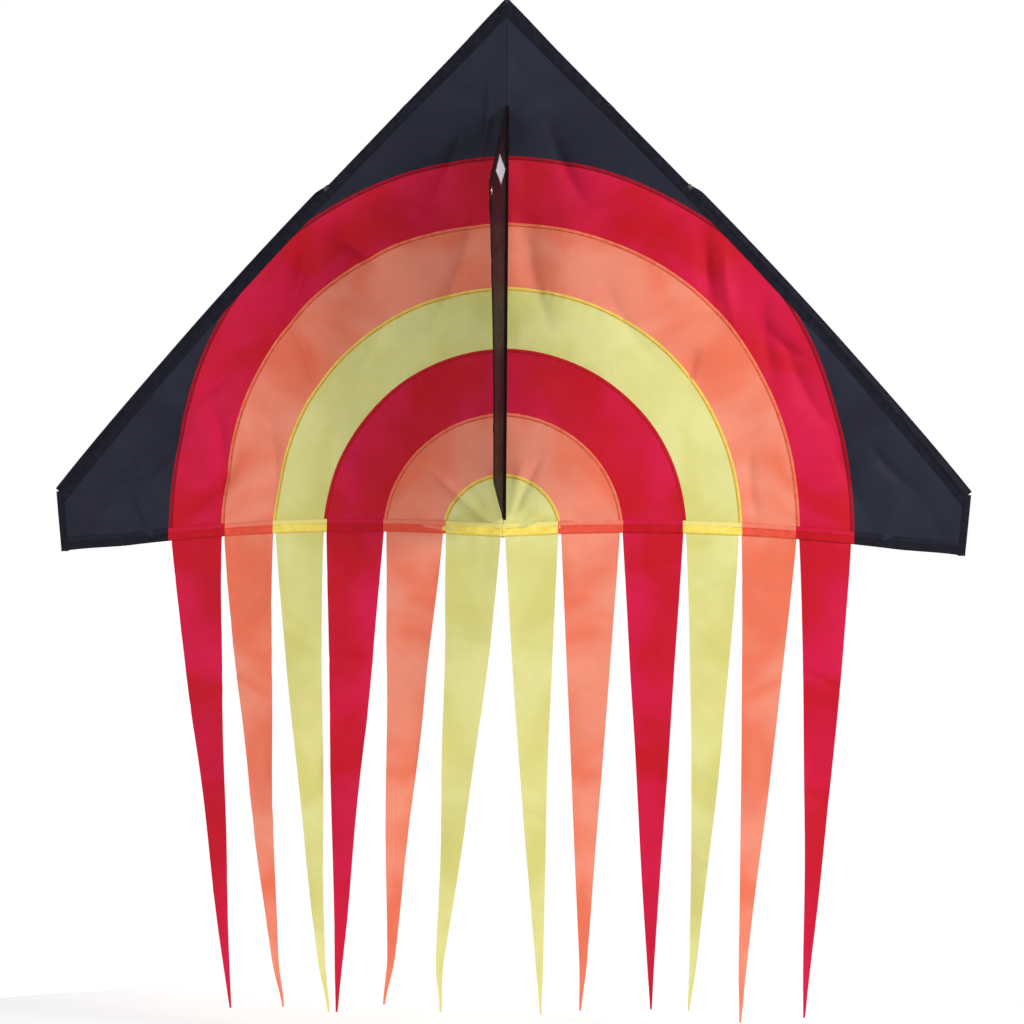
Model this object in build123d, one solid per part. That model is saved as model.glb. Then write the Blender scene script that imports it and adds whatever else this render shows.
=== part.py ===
"""Single-line delta kite with twelve streamer tails, in millimetres.

The origin is the tip of the nose and +Z points up to it. X runs across the span
and the keel hangs towards -Y. Each half of the sail is drawn flat as (u, z), where
u is the distance out from the centre plane, and is then swung back by the dihedral.
"""
import os
from math import atan2, cos, degrees, radians, sin, sqrt

from build123d import *

# Sail
DIHEDRAL = 8.0  # sweep back of each wing, degrees
HINGE_X = 4.8  # fold line of each wing, beside the spine
ROOT_U = 6.0  # inner edge of the sail panels
CLOTH = 0.8  # thickness of every cloth solid
HEM_CLOTH = 1.6  # thickness of a folded hem

# Leading edge: straight at 45 degrees, then a long arc to the tip
STRAIGHT_END = 312.0
LEADING_RADIUS = 6153.0
LEADING_SWEEP = 5.632  # degrees of arc
SLEEVE_WIDTH = 18.0
SLEEVE_RADIUS = 3.6
SLEEVE_BORE = 3.0
SLEEVE_EDGE = 1.0  # half thickness along the inner seam
SLEEVE_START = 160.0  # the stitched stop that the rod butts against

# Trailing edge: a shallow arc, highest at its crest
TRAILING_RADIUS = 3170.0
CREST_U = 229.0
CREST_Z = -822.7
TIP_LOWER_U = 709.0
HEM_WIDTH = 12.0

# Coloured bands: fuller than ellipses about a point low on the spine, as (across, along, fullness)
BAND_CENTRE_Z = -826.0
BANDS = [(88.0, 88.5, 2.0), (183.0, 182.0, 2.0), (281.0, 281.0, 2.03)]
BANDS += [(366.0, 376.0, 2.10), (453.0, 475.0, 2.15), (537.0, 578.0, 2.10)]

# Tails: one below each band
TAIL_LENGTH = 740.0
TAIL_SIDE_GAP = 3.0
TAIL_TOP_GAP = 1.0
TAIL_TIP_WIDTH = 3.0
# How far out from its own middle each tail's tip hangs, from the centre outwards
LEAN_LEFT = [43.0, 36.0, 23.0, -50.0, -58.0, -60.0]
LEAN_RIGHT = [20.0, -8.0, 0.0, -31.0, -42.0, -30.0]

# Rods, caps and pockets
ROD_RADIUS = 2.0
SPREADER_RADIUS = 2.5
CAP_RADIUS = 2.8
CAP_LENGTH = 12.0
CAP_FLOOR = 2.0
TIP_MARGIN = 8.0  # from the cap to the tip of the leading edge
POCKET_RADIUS = 3.5
POCKET_Y = 2.6
NOSE_PATCH = 7.0
SAIL_FOOT = -830.0

# Spreader fitting
COLLAR_AT = 293.0  # u of its centre, on the leading edge rod
COLLAR_RADIUS = 4.2
COLLAR_BORE = 2.1
COLLAR_LENGTH = 24.0
SPREADER_BACK = 6.5  # spreader axis behind the rod axis
CRADLE_LENGTH = 26.0
CRADLE_HALF = 5.6
CRADLE_SLOT = 2.8
SPREADER_INSET = 7.0  # rod end from the collar axis

# Keel
KEEL_ROOT_Y = -2.5
KEEL_TOP_Z = -168.0
KEEL_TOW = (-180.0, -306.0)
KEEL_LOW = (-118.0, -752.0)
KEEL_FOOT_Z = -803.0
KEEL_CORNER = 9.0
KEEL_HEM_WIDTH = 12.0
PATCH_POINTS = [(-68.0, -250.0), (-12.0, -267.0), (-54.0, -295.0), (-105.0, -280.0)]
PATCH_THICK = 0.5
GROMMET_AT = (-160.0, -316.0)
GROMMET_BORE = 3.0
GROMMET_BARREL = 3.7
GROMMET_FLANGE = 6.5
GROMMET_RIM = 0.8

# Values worked out from the dimensions above
DIAGONAL = sqrt(0.5)
ROD_INSET = SLEEVE_RADIUS + 0.3
TRAILING_CENTRE = (CREST_U, CREST_Z - TRAILING_RADIUS)
LEADING_CENTRE = STRAIGHT_END - LEADING_RADIUS * DIAGONAL
LEADING_CENTRE_Z = -STRAIGHT_END - LEADING_RADIUS * DIAGONAL
NORMAL = (0, 1, 0)
UPRIGHT = (0, 0, 1)


def trailing_z(u):
    """Height of the trailing edge at a distance out from the centre."""
    across = u - CREST_U
    return TRAILING_CENTRE[1] + sqrt(TRAILING_RADIUS**2 - across**2)


def leading_point(turn, inset):
    """A point on the arc of the leading edge, some degrees along it and some way inside it."""
    angle = radians(45.0 - turn)
    reach = LEADING_RADIUS - inset
    return (LEADING_CENTRE + reach * cos(angle), LEADING_CENTRE_Z + reach * sin(angle))


def straight_point(u, inset):
    """A point beside the straight part of the leading edge, whose own point is at (u, -u)."""
    return (u - inset * DIAGONAL, -u - inset * DIAGONAL)


def leading_tip():
    return leading_point(LEADING_SWEEP, 0)


# Flat regions of one half of the sail


def half_sail():
    """The whole outline of one half."""
    tip = leading_tip()
    foot = (TIP_LOWER_U, trailing_z(TIP_LOWER_U))
    root = (ROOT_U, trailing_z(ROOT_U))
    edges = [
        Line((ROOT_U, -ROOT_U), (STRAIGHT_END, -STRAIGHT_END)),
        ThreePointArc((STRAIGHT_END, -STRAIGHT_END), leading_point(LEADING_SWEEP / 2, 0), tip),
        Line(tip, foot),
        ThreePointArc(foot, (CREST_U, CREST_Z), root),
        Line(root, (ROOT_U, -ROOT_U)),
    ]
    return make_face(edges)


def leading_strip():
    """The strip that the leading edge sleeve covers."""
    end = LEADING_SWEEP + 0.4
    inner_corner = straight_point(STRAIGHT_END, SLEEVE_WIDTH)
    inner_root = (ROOT_U, inner_corner[0] + inner_corner[1] - ROOT_U)
    outer_tip = leading_point(end, 0)
    inner_tip = leading_point(end, SLEEVE_WIDTH)
    edges = [
        Line((ROOT_U, -ROOT_U), (STRAIGHT_END, -STRAIGHT_END)),
        ThreePointArc((STRAIGHT_END, -STRAIGHT_END), leading_point(end / 2, 0), outer_tip),
        Line(outer_tip, inner_tip),
        ThreePointArc(inner_tip, leading_point(end / 2, SLEEVE_WIDTH), inner_corner),
        Line(inner_corner, inner_root),
        Line(inner_root, (ROOT_U, -ROOT_U)),
    ]
    return make_face(edges)


def trailing_strip():
    """The strip of hem along the trailing edge."""
    disc = Circle(TRAILING_RADIUS + HEM_WIDTH)
    return half_sail() & Pos(*TRAILING_CENTRE) * disc


def tip_strip():
    """The strip of hem along the short edge at the wing tip."""
    tip = leading_tip()
    foot = (TIP_LOWER_U, trailing_z(TIP_LOWER_U))
    corners = [tip, foot, (foot[0] - HEM_WIDTH, foot[1]), (tip[0] - HEM_WIDTH, tip[1])]
    strip = make_face(Polyline(*corners, close=True))
    return (strip & half_sail()) - trailing_strip() - leading_strip()


def open_sail():
    """The single layer of cloth inside the sleeve and the hems."""
    return half_sail() - leading_strip() - trailing_strip() - tip_strip()


def ring_face(index):
    """The face inside one band's outer edge: an ellipse, or one that bulges on its diagonals."""
    across, along, fullness = BANDS[index]
    if fullness == 2.0:
        return Pos(0, BAND_CENTRE_Z) * Ellipse(across, along)
    points = []
    for step in range(48):
        turn = radians(7.5 * step)
        out, up = cos(turn), sin(turn)
        out = (1 if out >= 0 else -1) * abs(out) ** (2 / fullness)
        up = (1 if up >= 0 else -1) * abs(up) ** (2 / fullness)
        points.append((across * out, along * up))
    return Pos(0, BAND_CENTRE_Z) * make_face(Spline(*points, periodic=True))


def band_region(index):
    """One coloured band, counted from the centre."""
    region = open_sail() & ring_face(index)
    if index > 0:
        region -= ring_face(index - 1)
    return region


def black_region():
    """The cloth outside the bands."""
    return open_sail() - ring_face(len(BANDS) - 1)


def tail_region(index, lean):
    """One tapering tail, counted from the centre, its tip leaning out."""
    inner = BANDS[index - 1][0] if index > 0 else ROOT_U - TAIL_SIDE_GAP
    left = inner + TAIL_SIDE_GAP
    right = BANDS[index][0] - TAIL_SIDE_GAP
    left_top = (left, trailing_z(left) - TAIL_TOP_GAP)
    right_top = (right, trailing_z(right) - TAIL_TOP_GAP)
    middle = (left + right) / 2
    foot = (left_top[1] + right_top[1]) / 2 - TAIL_LENGTH
    right_tip = (middle + lean + TAIL_TIP_WIDTH / 2, foot)
    left_tip = (middle + lean - TAIL_TIP_WIDTH / 2, foot)
    return make_face(Polyline(left_top, right_top, right_tip, left_tip, close=True))


# Solids


def cloth(region, thickness):
    """A flat region turned into a sheet in the plane of the kite."""
    return extrude(Plane.XZ * region, amount=thickness / 2, both=True)


def along_leading_edge(u, inset):
    """A plane across the straight part of the leading edge, its x outward and its z down the edge."""
    x, z = straight_point(u, inset)
    return Plane(origin=(x, 0, z), x_dir=(1, 0, 1), z_dir=(1, 0, -1))


def down_leading_edge(profile, start, turn):
    """A profile carried down the edge from u = start, through the corner and round the arc."""
    straight = (STRAIGHT_END - start) / DIAGONAL
    solid = extrude(along_leading_edge(start, 0) * profile, amount=straight)
    axis = Axis((LEADING_CENTRE, 0, LEADING_CENTRE_Z), NORMAL)
    face = along_leading_edge(STRAIGHT_END, 0) * profile
    return solid + revolve(face, axis, turn)


def leading_sleeve():
    """The folded sleeve: flat below the nose, then a tube with a window at the fitting."""
    seam = SLEEVE_EDGE
    bulge = SLEEVE_RADIUS
    throat = [(-ROD_INSET, bulge), (-SLEEVE_WIDTH, seam), (-SLEEVE_WIDTH, -seam), (-ROD_INSET, -bulge)]
    tube = make_face(Polyline(*throat, close=True)) + Pos(-ROD_INSET, 0) * Circle(bulge)
    tube -= Pos(-ROD_INSET, 0) * Circle(SLEEVE_BORE)
    sleeve = down_leading_edge(tube, SLEEVE_START, LEADING_SWEEP)
    start = along_leading_edge(SLEEVE_START, 0)
    window = along_leading_edge(COLLAR_AT, ROD_INSET) * Cylinder(COLLAR_RADIUS + 0.8, COLLAR_LENGTH + 4)
    top = cloth(leading_strip(), 2 * seam)
    top = split(top, bisect_by=start, keep=Keep.BOTTOM)
    return sleeve - window + top


def rod_turn():
    """Degrees of arc that the leading edge rod runs round before its end cap."""
    short = TIP_MARGIN + CAP_FLOOR
    return LEADING_SWEEP - degrees(short / LEADING_RADIUS)


def leading_rod():
    section = Pos(-ROD_INSET, 0) * Circle(ROD_RADIUS)
    return down_leading_edge(section, SLEEVE_START + CAP_FLOOR, rod_turn())


def cap():
    """A push-on end cap, its closed end at the origin and its mouth towards +Z."""
    body = Pos(0, 0, CAP_LENGTH / 2) * Cylinder(CAP_RADIUS, CAP_LENGTH)
    mouth = Pos(0, 0, CAP_FLOOR + CAP_LENGTH / 2) * Cylinder(ROD_RADIUS + 0.02, CAP_LENGTH)
    return body - mouth


def leading_caps():
    """The caps on the two ends of the leading edge rod."""
    above = along_leading_edge(SLEEVE_START + CAP_FLOOR, ROD_INSET)
    upper = above * Pos(0, 0, -CAP_FLOOR) * cap()
    x, z = leading_point(rod_turn(), ROD_INSET)
    angle = radians(45 - rod_turn())
    up_edge = (-sin(angle), 0, cos(angle))
    below = Plane(origin=(x, 0, z), x_dir=(cos(angle), 0, sin(angle)), z_dir=up_edge)
    lower = below * Pos(0, 0, -CAP_FLOOR) * cap()
    return Compound([upper, lower])


def swing(solid):
    """Swings a flat half back by the dihedral, about its fold line."""
    return solid.rotate(Axis((HINGE_X, 0, 0), UPRIGHT), DIHEDRAL)


def collar_centre():
    """Where the swung leading edge rod passes through its fitting."""
    u, z = straight_point(COLLAR_AT, ROD_INSET)
    reach = u - HINGE_X
    turn = radians(DIHEDRAL)
    return Vector(HINGE_X + reach * cos(turn), reach * sin(turn), z)


def spreader_fitting():
    """A collar on the leading edge rod with a cradle behind it, open to the back."""
    place = along_leading_edge(COLLAR_AT, ROD_INSET)
    collar = swing(place * Cylinder(COLLAR_RADIUS, COLLAR_LENGTH))
    centre = collar_centre()
    floor = centre.Y + 3.0
    rim = centre.Y + SPREADER_BACK + SPREADER_RADIUS + 0.8
    outer = centre.X + 1.5
    inner = outer - CRADLE_LENGTH
    middle = ((outer + inner) / 2, (floor + rim) / 2, centre.Z)
    block = Pos(*middle) * Box(CRADLE_LENGTH, rim - floor, 2 * CRADLE_HALF)
    block = fillet(block.edges().filter_by(Axis.Y), 2.0)
    slot_floor = centre.Y + SPREADER_BACK - CRADLE_SLOT
    slot_end = centre.X - SPREADER_INSET + 2.5
    slot_length = slot_end - inner + 2
    slot_at = (slot_end - slot_length / 2, (slot_floor + rim + 4) / 2, centre.Z)
    slot = Pos(*slot_at) * Box(slot_length, rim + 4 - slot_floor, 2 * CRADLE_SLOT)
    bore = swing(place * Cylinder(COLLAR_BORE, COLLAR_LENGTH + 30))
    return block + collar - slot - bore


def spreader_rod():
    centre = collar_centre()
    length = 2 * (centre.X - SPREADER_INSET)
    rod = Cylinder(SPREADER_RADIUS, length, rotation=(0, 90, 0))
    return Pos(0, centre.Y + SPREADER_BACK, centre.Z) * rod


def upright_tube(outer, inner, top, foot):
    """A tube or rod behind the centre of the sail."""
    length = top - foot
    tube = Cylinder(outer, length)
    if inner:
        tube -= Cylinder(inner, length)
    return Pos(0, POCKET_Y, (top + foot) / 2) * tube


def spine_pocket():
    return upright_tube(POCKET_RADIUS, SLEEVE_BORE, -NOSE_PATCH, SAIL_FOOT)


def spine_rod():
    return upright_tube(ROD_RADIUS, 0, -NOSE_PATCH - 1 - CAP_FLOOR, SAIL_FOOT + 1 + CAP_FLOOR)


def spine_caps():
    upper = Pos(0, POCKET_Y, -NOSE_PATCH - 1) * Rot(180, 0, 0) * cap()
    lower = Pos(0, POCKET_Y, SAIL_FOOT + 1) * cap()
    return Compound([upper, lower])


def nose_patch():
    """The folded patch that closes the top of the spine pocket."""
    block = Box(2 * POCKET_RADIUS, 2 * POCKET_RADIUS, NOSE_PATCH)
    return Pos(0, POCKET_Y, -NOSE_PATCH / 2) * fillet(block.edges().filter_by(Axis.Z), 1.5)


def pocket_flap():
    """The flap that closes the foot of the spine pocket."""
    block = Box(2 * POCKET_RADIUS, 2 * POCKET_RADIUS, 2.0)
    return Pos(0, POCKET_Y, SAIL_FOOT - 1.0) * fillet(block.edges().filter_by(Axis.Z), 1.5)


# Keel, drawn as (y, z) in the centre plane


def keel_outline():
    corners = [(KEEL_ROOT_Y, KEEL_TOP_Z), KEEL_TOW, KEEL_LOW, (KEEL_ROOT_Y, KEEL_FOOT_Z)]
    outline = make_face(Polyline(*corners, close=True))
    free = [v for v in outline.vertices() if v.X < KEEL_LOW[0] + 1]
    return fillet(free, KEEL_CORNER)


def keel_inside():
    """The keel without the hem along its free edges."""
    inner = offset(keel_outline(), amount=-KEEL_HEM_WIDTH)
    reach = KEEL_HEM_WIDTH + 4.0
    inner += extend_to_root(inner, reach)
    return inner & keel_outline()


def extend_to_root(region, reach):
    """The same region moved towards the spine, so that no hem is left along the seam."""
    return Pos(reach, 0) * region + Pos(reach / 2, 0) * region


def upright(region, thickness):
    """A (y, z) region turned into a sheet in the centre plane."""
    return extrude(Plane.YZ * region, amount=thickness / 2, both=True)


def grommet_hole(radius):
    return Pos(*GROMMET_AT) * Circle(radius)


def keel_panel():
    region = keel_inside() - grommet_hole(GROMMET_BARREL)
    return upright(region, CLOTH)


def keel_hem():
    region = keel_outline() - keel_inside() - grommet_hole(GROMMET_FLANGE + 0.3)
    return upright(region, HEM_CLOTH)


def keel_patch():
    """A plain diamond sewn on the +X side."""
    face = make_face(Polyline(*PATCH_POINTS, close=True))
    return Pos(CLOTH / 2 + PATCH_THICK / 2, 0, 0) * upright(face, PATCH_THICK)


def grommet_front():
    """The half with the barrel, on the +X side."""
    ring = Pos(*GROMMET_AT) * (Circle(GROMMET_FLANGE) - Circle(GROMMET_BORE))
    barrel = Pos(*GROMMET_AT) * (Circle(GROMMET_BARREL) - Circle(GROMMET_BORE))
    flange = Pos(CLOTH / 2 + GROMMET_RIM / 2, 0, 0) * upright(ring, GROMMET_RIM)
    return flange + upright(barrel, CLOTH)


def grommet_back():
    """The flat washer on the -X side."""
    ring = Pos(*GROMMET_AT) * (Circle(GROMMET_FLANGE) - Circle(GROMMET_BORE))
    return Pos(-CLOTH / 2 - GROMMET_RIM / 2, 0, 0) * upright(ring, GROMMET_RIM)


BAND_NAMES = ["yellow_inner", "orange_inner", "red_inner", "yellow_outer", "orange_outer", "red_outer"]


def wing_pieces():
    """Every piece of the right wing, by name."""
    pieces = {
        "sail_black": swing(cloth(black_region(), CLOTH)),
        "leading_sleeve": swing(leading_sleeve()),
        "trailing_hem": swing(cloth(trailing_strip(), HEM_CLOTH)),
        "tip_hem": swing(cloth(tip_strip(), HEM_CLOTH)),
        "leading_rod": swing(leading_rod()),
        "leading_rod_caps": swing(leading_caps()),
        "spreader_fitting": spreader_fitting(),
    }
    for index, colour in enumerate(BAND_NAMES):
        pieces[f"band_{colour}"] = swing(cloth(band_region(index), CLOTH))
    return pieces


def tails(leans):
    """The six tails of the right wing with the given leans, by name."""
    pieces = {}
    for index, colour in enumerate(BAND_NAMES):
        pieces[f"tail_{colour}"] = swing(cloth(tail_region(index, leans[index]), CLOTH))
    return pieces


def centre_pieces():
    return {
        "spine_pocket": spine_pocket(),
        "spine_rod": spine_rod(),
        "spine_rod_caps": spine_caps(),
        "nose_patch": nose_patch(),
        "pocket_flap": pocket_flap(),
        "spreader_rod": spreader_rod(),
        "keel_panel": keel_panel(),
        "keel_hem": keel_hem(),
        "keel_patch": keel_patch(),
        "grommet_front": grommet_front(),
        "grommet_back": grommet_back(),
    }


def main():
    os.makedirs("parts", exist_ok=True)
    for name, piece in centre_pieces().items():
        export_step(piece, f"parts/{name}.step")
    wing = wing_pieces()
    for name, piece in (wing | tails(LEAN_RIGHT)).items():
        export_step(piece, f"parts/{name}_right.step")
    for name, piece in (wing | tails(LEAN_LEFT)).items():
        export_step(mirror(piece, about=Plane.YZ), f"parts/{name}_left.step")


main()
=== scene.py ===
"""Cloth, stitching and finishes of a single-line delta kite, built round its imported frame."""
import math

import bpy
import numpy as np
from bpy.props import FloatProperty, FloatVectorProperty, PointerProperty
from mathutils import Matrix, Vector


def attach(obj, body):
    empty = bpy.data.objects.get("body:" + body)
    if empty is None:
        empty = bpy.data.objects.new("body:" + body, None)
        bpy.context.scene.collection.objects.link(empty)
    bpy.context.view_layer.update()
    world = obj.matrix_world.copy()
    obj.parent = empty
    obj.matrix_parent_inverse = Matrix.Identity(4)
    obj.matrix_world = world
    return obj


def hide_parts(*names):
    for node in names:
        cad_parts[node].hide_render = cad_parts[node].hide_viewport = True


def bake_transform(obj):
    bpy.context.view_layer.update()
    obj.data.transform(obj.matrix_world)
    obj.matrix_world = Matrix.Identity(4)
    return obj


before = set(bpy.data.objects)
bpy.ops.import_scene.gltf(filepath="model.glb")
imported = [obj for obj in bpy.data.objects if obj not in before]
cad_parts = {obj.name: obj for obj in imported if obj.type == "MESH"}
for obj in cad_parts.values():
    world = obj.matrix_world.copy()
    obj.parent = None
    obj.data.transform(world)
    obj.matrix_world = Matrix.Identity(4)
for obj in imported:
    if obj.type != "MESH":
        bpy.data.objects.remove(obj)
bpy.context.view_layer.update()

bl_info = {
    "name": "Delta kite",
    "version": (1, 0, 0),
    "blender": (4, 5, 0),
    "location": "View3D > Sidebar > Kite",
    "description": "Builds the cloth, stitching and finishes of a streamer-tail delta kite",
    "category": "Object",
}

MM = 0.001
SIDES = {"left": -1.0, "right": 1.0}

# The pattern of one half of the sail, flat: u runs out from the centre plane, z up
DIHEDRAL = math.radians(8.0)
HINGE_U = 4.8 * MM
BEND_U = 14.0 * MM
STRAIGHT_END = 312.0 * MM
LEADING_RADIUS = 6153.0 * MM
LEADING_SWEEP = math.radians(5.632)
STRAIGHT_LENGTH = STRAIGHT_END * math.sqrt(2)
LEADING_LENGTH = STRAIGHT_LENGTH + LEADING_RADIUS * LEADING_SWEEP
DIAGONAL = math.sqrt(0.5)
ARC_CENTRE_U = STRAIGHT_END - LEADING_RADIUS * DIAGONAL
ARC_CENTRE_Z = -STRAIGHT_END - LEADING_RADIUS * DIAGONAL
TRAILING_RADIUS = 3170.0 * MM
CREST_U = 229.0 * MM
CREST_Z = -822.7 * MM
TIP_LOWER_U = 709.0 * MM
BAND_CENTRE_Z = -826.0 * MM

# The outer edge of each band: its reach across and along, and its fullness, which is 2 for an ellipse
RINGS = [(88.0, 88.5, 2.0), (183.0, 182.0, 2.0), (281.0, 281.0, 2.03)]
RINGS += [(366.0, 376.0, 2.10), (453.0, 475.0, 2.15), (537.0, 578.0, 2.10)]
RINGS = [(across * MM, along * MM, fullness) for across, along, fullness in RINGS]
BANDS = ["yellow_inner", "orange_inner", "red_inner", "yellow_outer", "orange_outer", "red_outer"]
QUARTER_TURN = 1.6  # the length of a quarter of a ring, for a reach of 1

# Distances down the leading edge, and how far inside it its rod lies
ROD_INSET = 3.9 * MM
SLEEVE_START = 160.0 * MM * math.sqrt(2)
SLEEVE_SPLIT = 281.5 * MM * math.sqrt(2)
FITTING_AT = 293.0 * MM * math.sqrt(2)

# How far the sleeve's outer fold stands outside the cut line above the fitting, below it and more at
# the tip, and over what length before and after the fitting that changes, for the sleeve and the cloth
EASE_ABOVE = -1.4 * MM
EASE_BELOW = 6.4 * MM
EASE_TIP = 2.2 * MM
SLEEVE_EASE_REACH = (18 * MM, 14 * MM)
CLOTH_EASE_REACH = (50 * MM, 140 * MM)

# The tails: their length, how far their edges are from the seams, and where the first ones start
TAIL_LENGTH = 740.0 * MM
TAIL_GAP = 2.0 * MM
FIRST_TAIL_U = 1.5 * MM
TAIL_ROOT = 11.5 * MM  # how far a tail goes up into the hem
TAIL_POINT = 3.0 * MM  # its width at its tip
TAIL_CREASES = 11

# How each tail hangs, from the centre outwards: the lean of its tip, its extra length,
# and the sideways hook of its last few centimetres, all in millimetres
TAIL_HANG = {
    "left": [(49, -8, -8), (36, -12, 6), (23, 3, -1), (-50, 2, -6), (-58, -8, -8), (-62, -10, 0)],
    "right": [(20, -6, -1), (-8, -8, -3), (0, -9, 1), (-31, -8, -2), (-42, 6, 2), (-30, -8, 1)],
}

# Folds that show in each half: (u, z) of one end and of the other, height and width, in millimetres
FOLDS = {
    "left": [
        (318, -330, 352, -500, 3.4, 16), (352, -490, 300, -600, 2.4, 14), (300, -350, 190, -420, 1.8, 16),
        (330, -372, 402, -470, -2.2, 13), (40, -300, 120, -520, 2.2, 24), (60, -170, 130, -330, 1.6, 18),
        (26, -110, 44, -260, -1.6, 10), (420, -700, 520, -800, 1.8, 15), (500, -640, 610, -760, 2.2, 16),
        (610, -735, 560, -840, -1.7, 13), (470, -610, 455, -790, 2.0, 16), (380, -640, 372, -800, 1.8, 12),
        (640, -760, 690, -850, 1.4, 10), (430, -560, 530, -640, 1.8, 9), (560, -690, 660, -770, 1.6, 8),
        (200, -210, 292, -296, -1.5, 9), (180, -470, 250, -600, 1.3, 18), (90, -600, 200, -640, 1.0, 16),
    ],
    "right": [
        (312, -320, 322, -480, 3.0, 13), (334, -340, 360, -520, -2.4, 12), (300, -540, 285, -590, 2.0, 9),
        (398, -420, 420, -600, 2.4, 16), (430, -520, 500, -660, 1.9, 14), (288, -330, 200, -380, 1.6, 14),
        (60, -180, 130, -330, 1.7, 18), (30, -330, 70, -520, 1.5, 22), (500, -640, 560, -800, 1.8, 18),
        (560, -680, 650, -770, 1.5, 9), (620, -760, 575, -845, -1.6, 13), (650, -775, 690, -850, 1.2, 9),
        (210, -215, 290, -292, -1.6, 9), (400, -500, 470, -560, 1.7, 8), (380, -680, 392, -815, 1.5, 12),
        (150, -430, 230, -560, 1.1, 18), (268, -262, 320, -330, 1.8, 8),
    ],
}
RAYS = [9, 21, 30, 43, 52, 64, 75, 83]  # degrees up from the trailing edge, about the foot of the spine

# How strongly the folds, the crease beside each and the two kinds of unevenness show
FOLD_RISE = 2.8
CREASE_RISE = 1.3
WAVE_RISE = 0.0042
FACET_SLOPE = 0.045
WAVES = 14
FACETS = 34


# ---------------------------------------------------------------- sizes and colours


def length_property(name, description, default):
    return FloatProperty(name=name, description=description, default=default, unit="LENGTH")


class KiteSizes(bpy.types.PropertyGroup):
    """Sizes that a kite maker would change."""

    cloth: length_property("Cloth", "Thickness of one layer", 0.0003)
    hem: length_property("Hem", "Width of the trailing hem", 0.0200)
    seam: length_property("Seam", "Overlap of two bands", 0.0062)
    sleeve: length_property("Sleeve", "Width of the rod sleeve", 0.018)
    billow: length_property("Billow", "Depth of the sail's curve", 0.020)
    thread: length_property("Thread", "Radius of the thread", 0.00024)
    stitch: length_property("Stitch", "Length of one stitch", 0.0030)
    step: length_property("Mesh step", "Spacing of the cloth mesh", 0.0038)


def colour_property(name, default):
    text = f"Colour of the {name.lower()}"
    return FloatVectorProperty(name=name, description=text, default=default, subtype="COLOR", size=3)


class KiteColours(bpy.types.PropertyGroup):
    """Colours of the cloth, thread and fittings, linear."""

    black: colour_property("Black cloth", (0.0190, 0.0195, 0.0330))
    red: colour_property("Red cloth", (0.660, 0.011, 0.062))
    orange: colour_property("Orange cloth", (0.900, 0.290, 0.190))
    yellow: colour_property("Yellow cloth", (0.780, 0.750, 0.300))
    keel: colour_property("Keel cloth", (0.016, 0.008, 0.010))
    patch: colour_property("Plain patch", (0.700, 0.740, 0.780))
    webbing: colour_property("Webbing", (0.016, 0.016, 0.019))
    rod: colour_property("Rod", (0.018, 0.018, 0.020))
    moulding: colour_property("Moulding", (0.020, 0.020, 0.022))
    metal: colour_property("Eyelet", (0.780, 0.740, 0.640))


def sizes():
    return bpy.context.scene.kite_sizes


def colours():
    return bpy.context.scene.kite_colours


# ---------------------------------------------------------------- the flat pattern


def trailing_z(u):
    """Height of the trailing edge."""
    return CREST_Z - TRAILING_RADIUS + np.sqrt(TRAILING_RADIUS**2 - (u - CREST_U) ** 2)


def leading_point(along, inset):
    """(u, z) at a distance down the leading edge and some way inside it."""
    along, inset = np.broadcast_arrays(np.asarray(along, float), np.asarray(inset, float))
    reach = LEADING_RADIUS - inset
    angle = math.pi / 4 - np.maximum(along - STRAIGHT_LENGTH, 0) / LEADING_RADIUS
    straight = np.minimum(along - STRAIGHT_LENGTH, 0)
    u = ARC_CENTRE_U + reach * np.cos(angle) + straight * DIAGONAL
    z = ARC_CENTRE_Z + reach * np.sin(angle) - straight * DIAGONAL
    return u, z


def beside_straight(u, z):
    """Whether a flat point lies beside the straight stretch of the leading edge."""
    return u - z < 2 * STRAIGHT_END


def leading_inset(u, z):
    """How far a flat point lies inside the leading edge."""
    straight = -(u + z) * DIAGONAL
    arc = LEADING_RADIUS - np.hypot(u - ARC_CENTRE_U, z - ARC_CENTRE_Z)
    return np.where(beside_straight(u, z), straight, arc)


def leading_along(u, z):
    """How far down the leading edge a flat point lies."""
    angle = np.arctan2(z - ARC_CENTRE_Z, u - ARC_CENTRE_U)
    arc = STRAIGHT_LENGTH + LEADING_RADIUS * (math.pi / 4 - angle)
    return np.where(beside_straight(u, z), (u - z) * DIAGONAL, arc)


def ring_point(ring, angle):
    """(u, z) on the edge of a band about the band centre, by angle up from the trailing edge."""
    across, along = np.cos(angle), np.sin(angle)
    across = np.sign(across) * np.abs(across) ** (2 / ring[2])
    along = np.sign(along) * np.abs(along) ** (2 / ring[2])
    return ring[0] * across, BAND_CENTRE_Z + ring[1] * along


def ring_end(ring):
    """The angle at which the edge of a band meets the trailing edge."""
    angle = 0.0
    for _ in range(12):
        u = ring[0] * math.cos(angle) ** (2 / ring[2])
        rise = (float(trailing_z(u)) - BAND_CENTRE_Z) / ring[1]
        angle = math.copysign(math.asin(abs(rise) ** (ring[2] / 2)), rise)
    return angle


def colour_of(band):
    """The colour in the name of a band."""
    return band.split("_")[0]


def smooth(value, low, high):
    """0 below low, 1 above high, and an even ease between them."""
    t = np.clip((value - low) / (high - low), 0, 1)
    return t * t * (3 - 2 * t)


def travelled(points):
    """How far along a polyline of flat points each of them lies."""
    return np.concatenate([[0], np.cumsum(np.hypot(*np.diff(points, axis=0).T))])


def resampled(points, count):
    """Evenly spaced points along a polyline, and how far along it each of them lies."""
    lengths = travelled(points)
    marks = np.linspace(0, lengths[-1], count)
    return np.stack([np.interp(marks, lengths, points[:, k]) for k in range(2)], axis=1), marks


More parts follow.
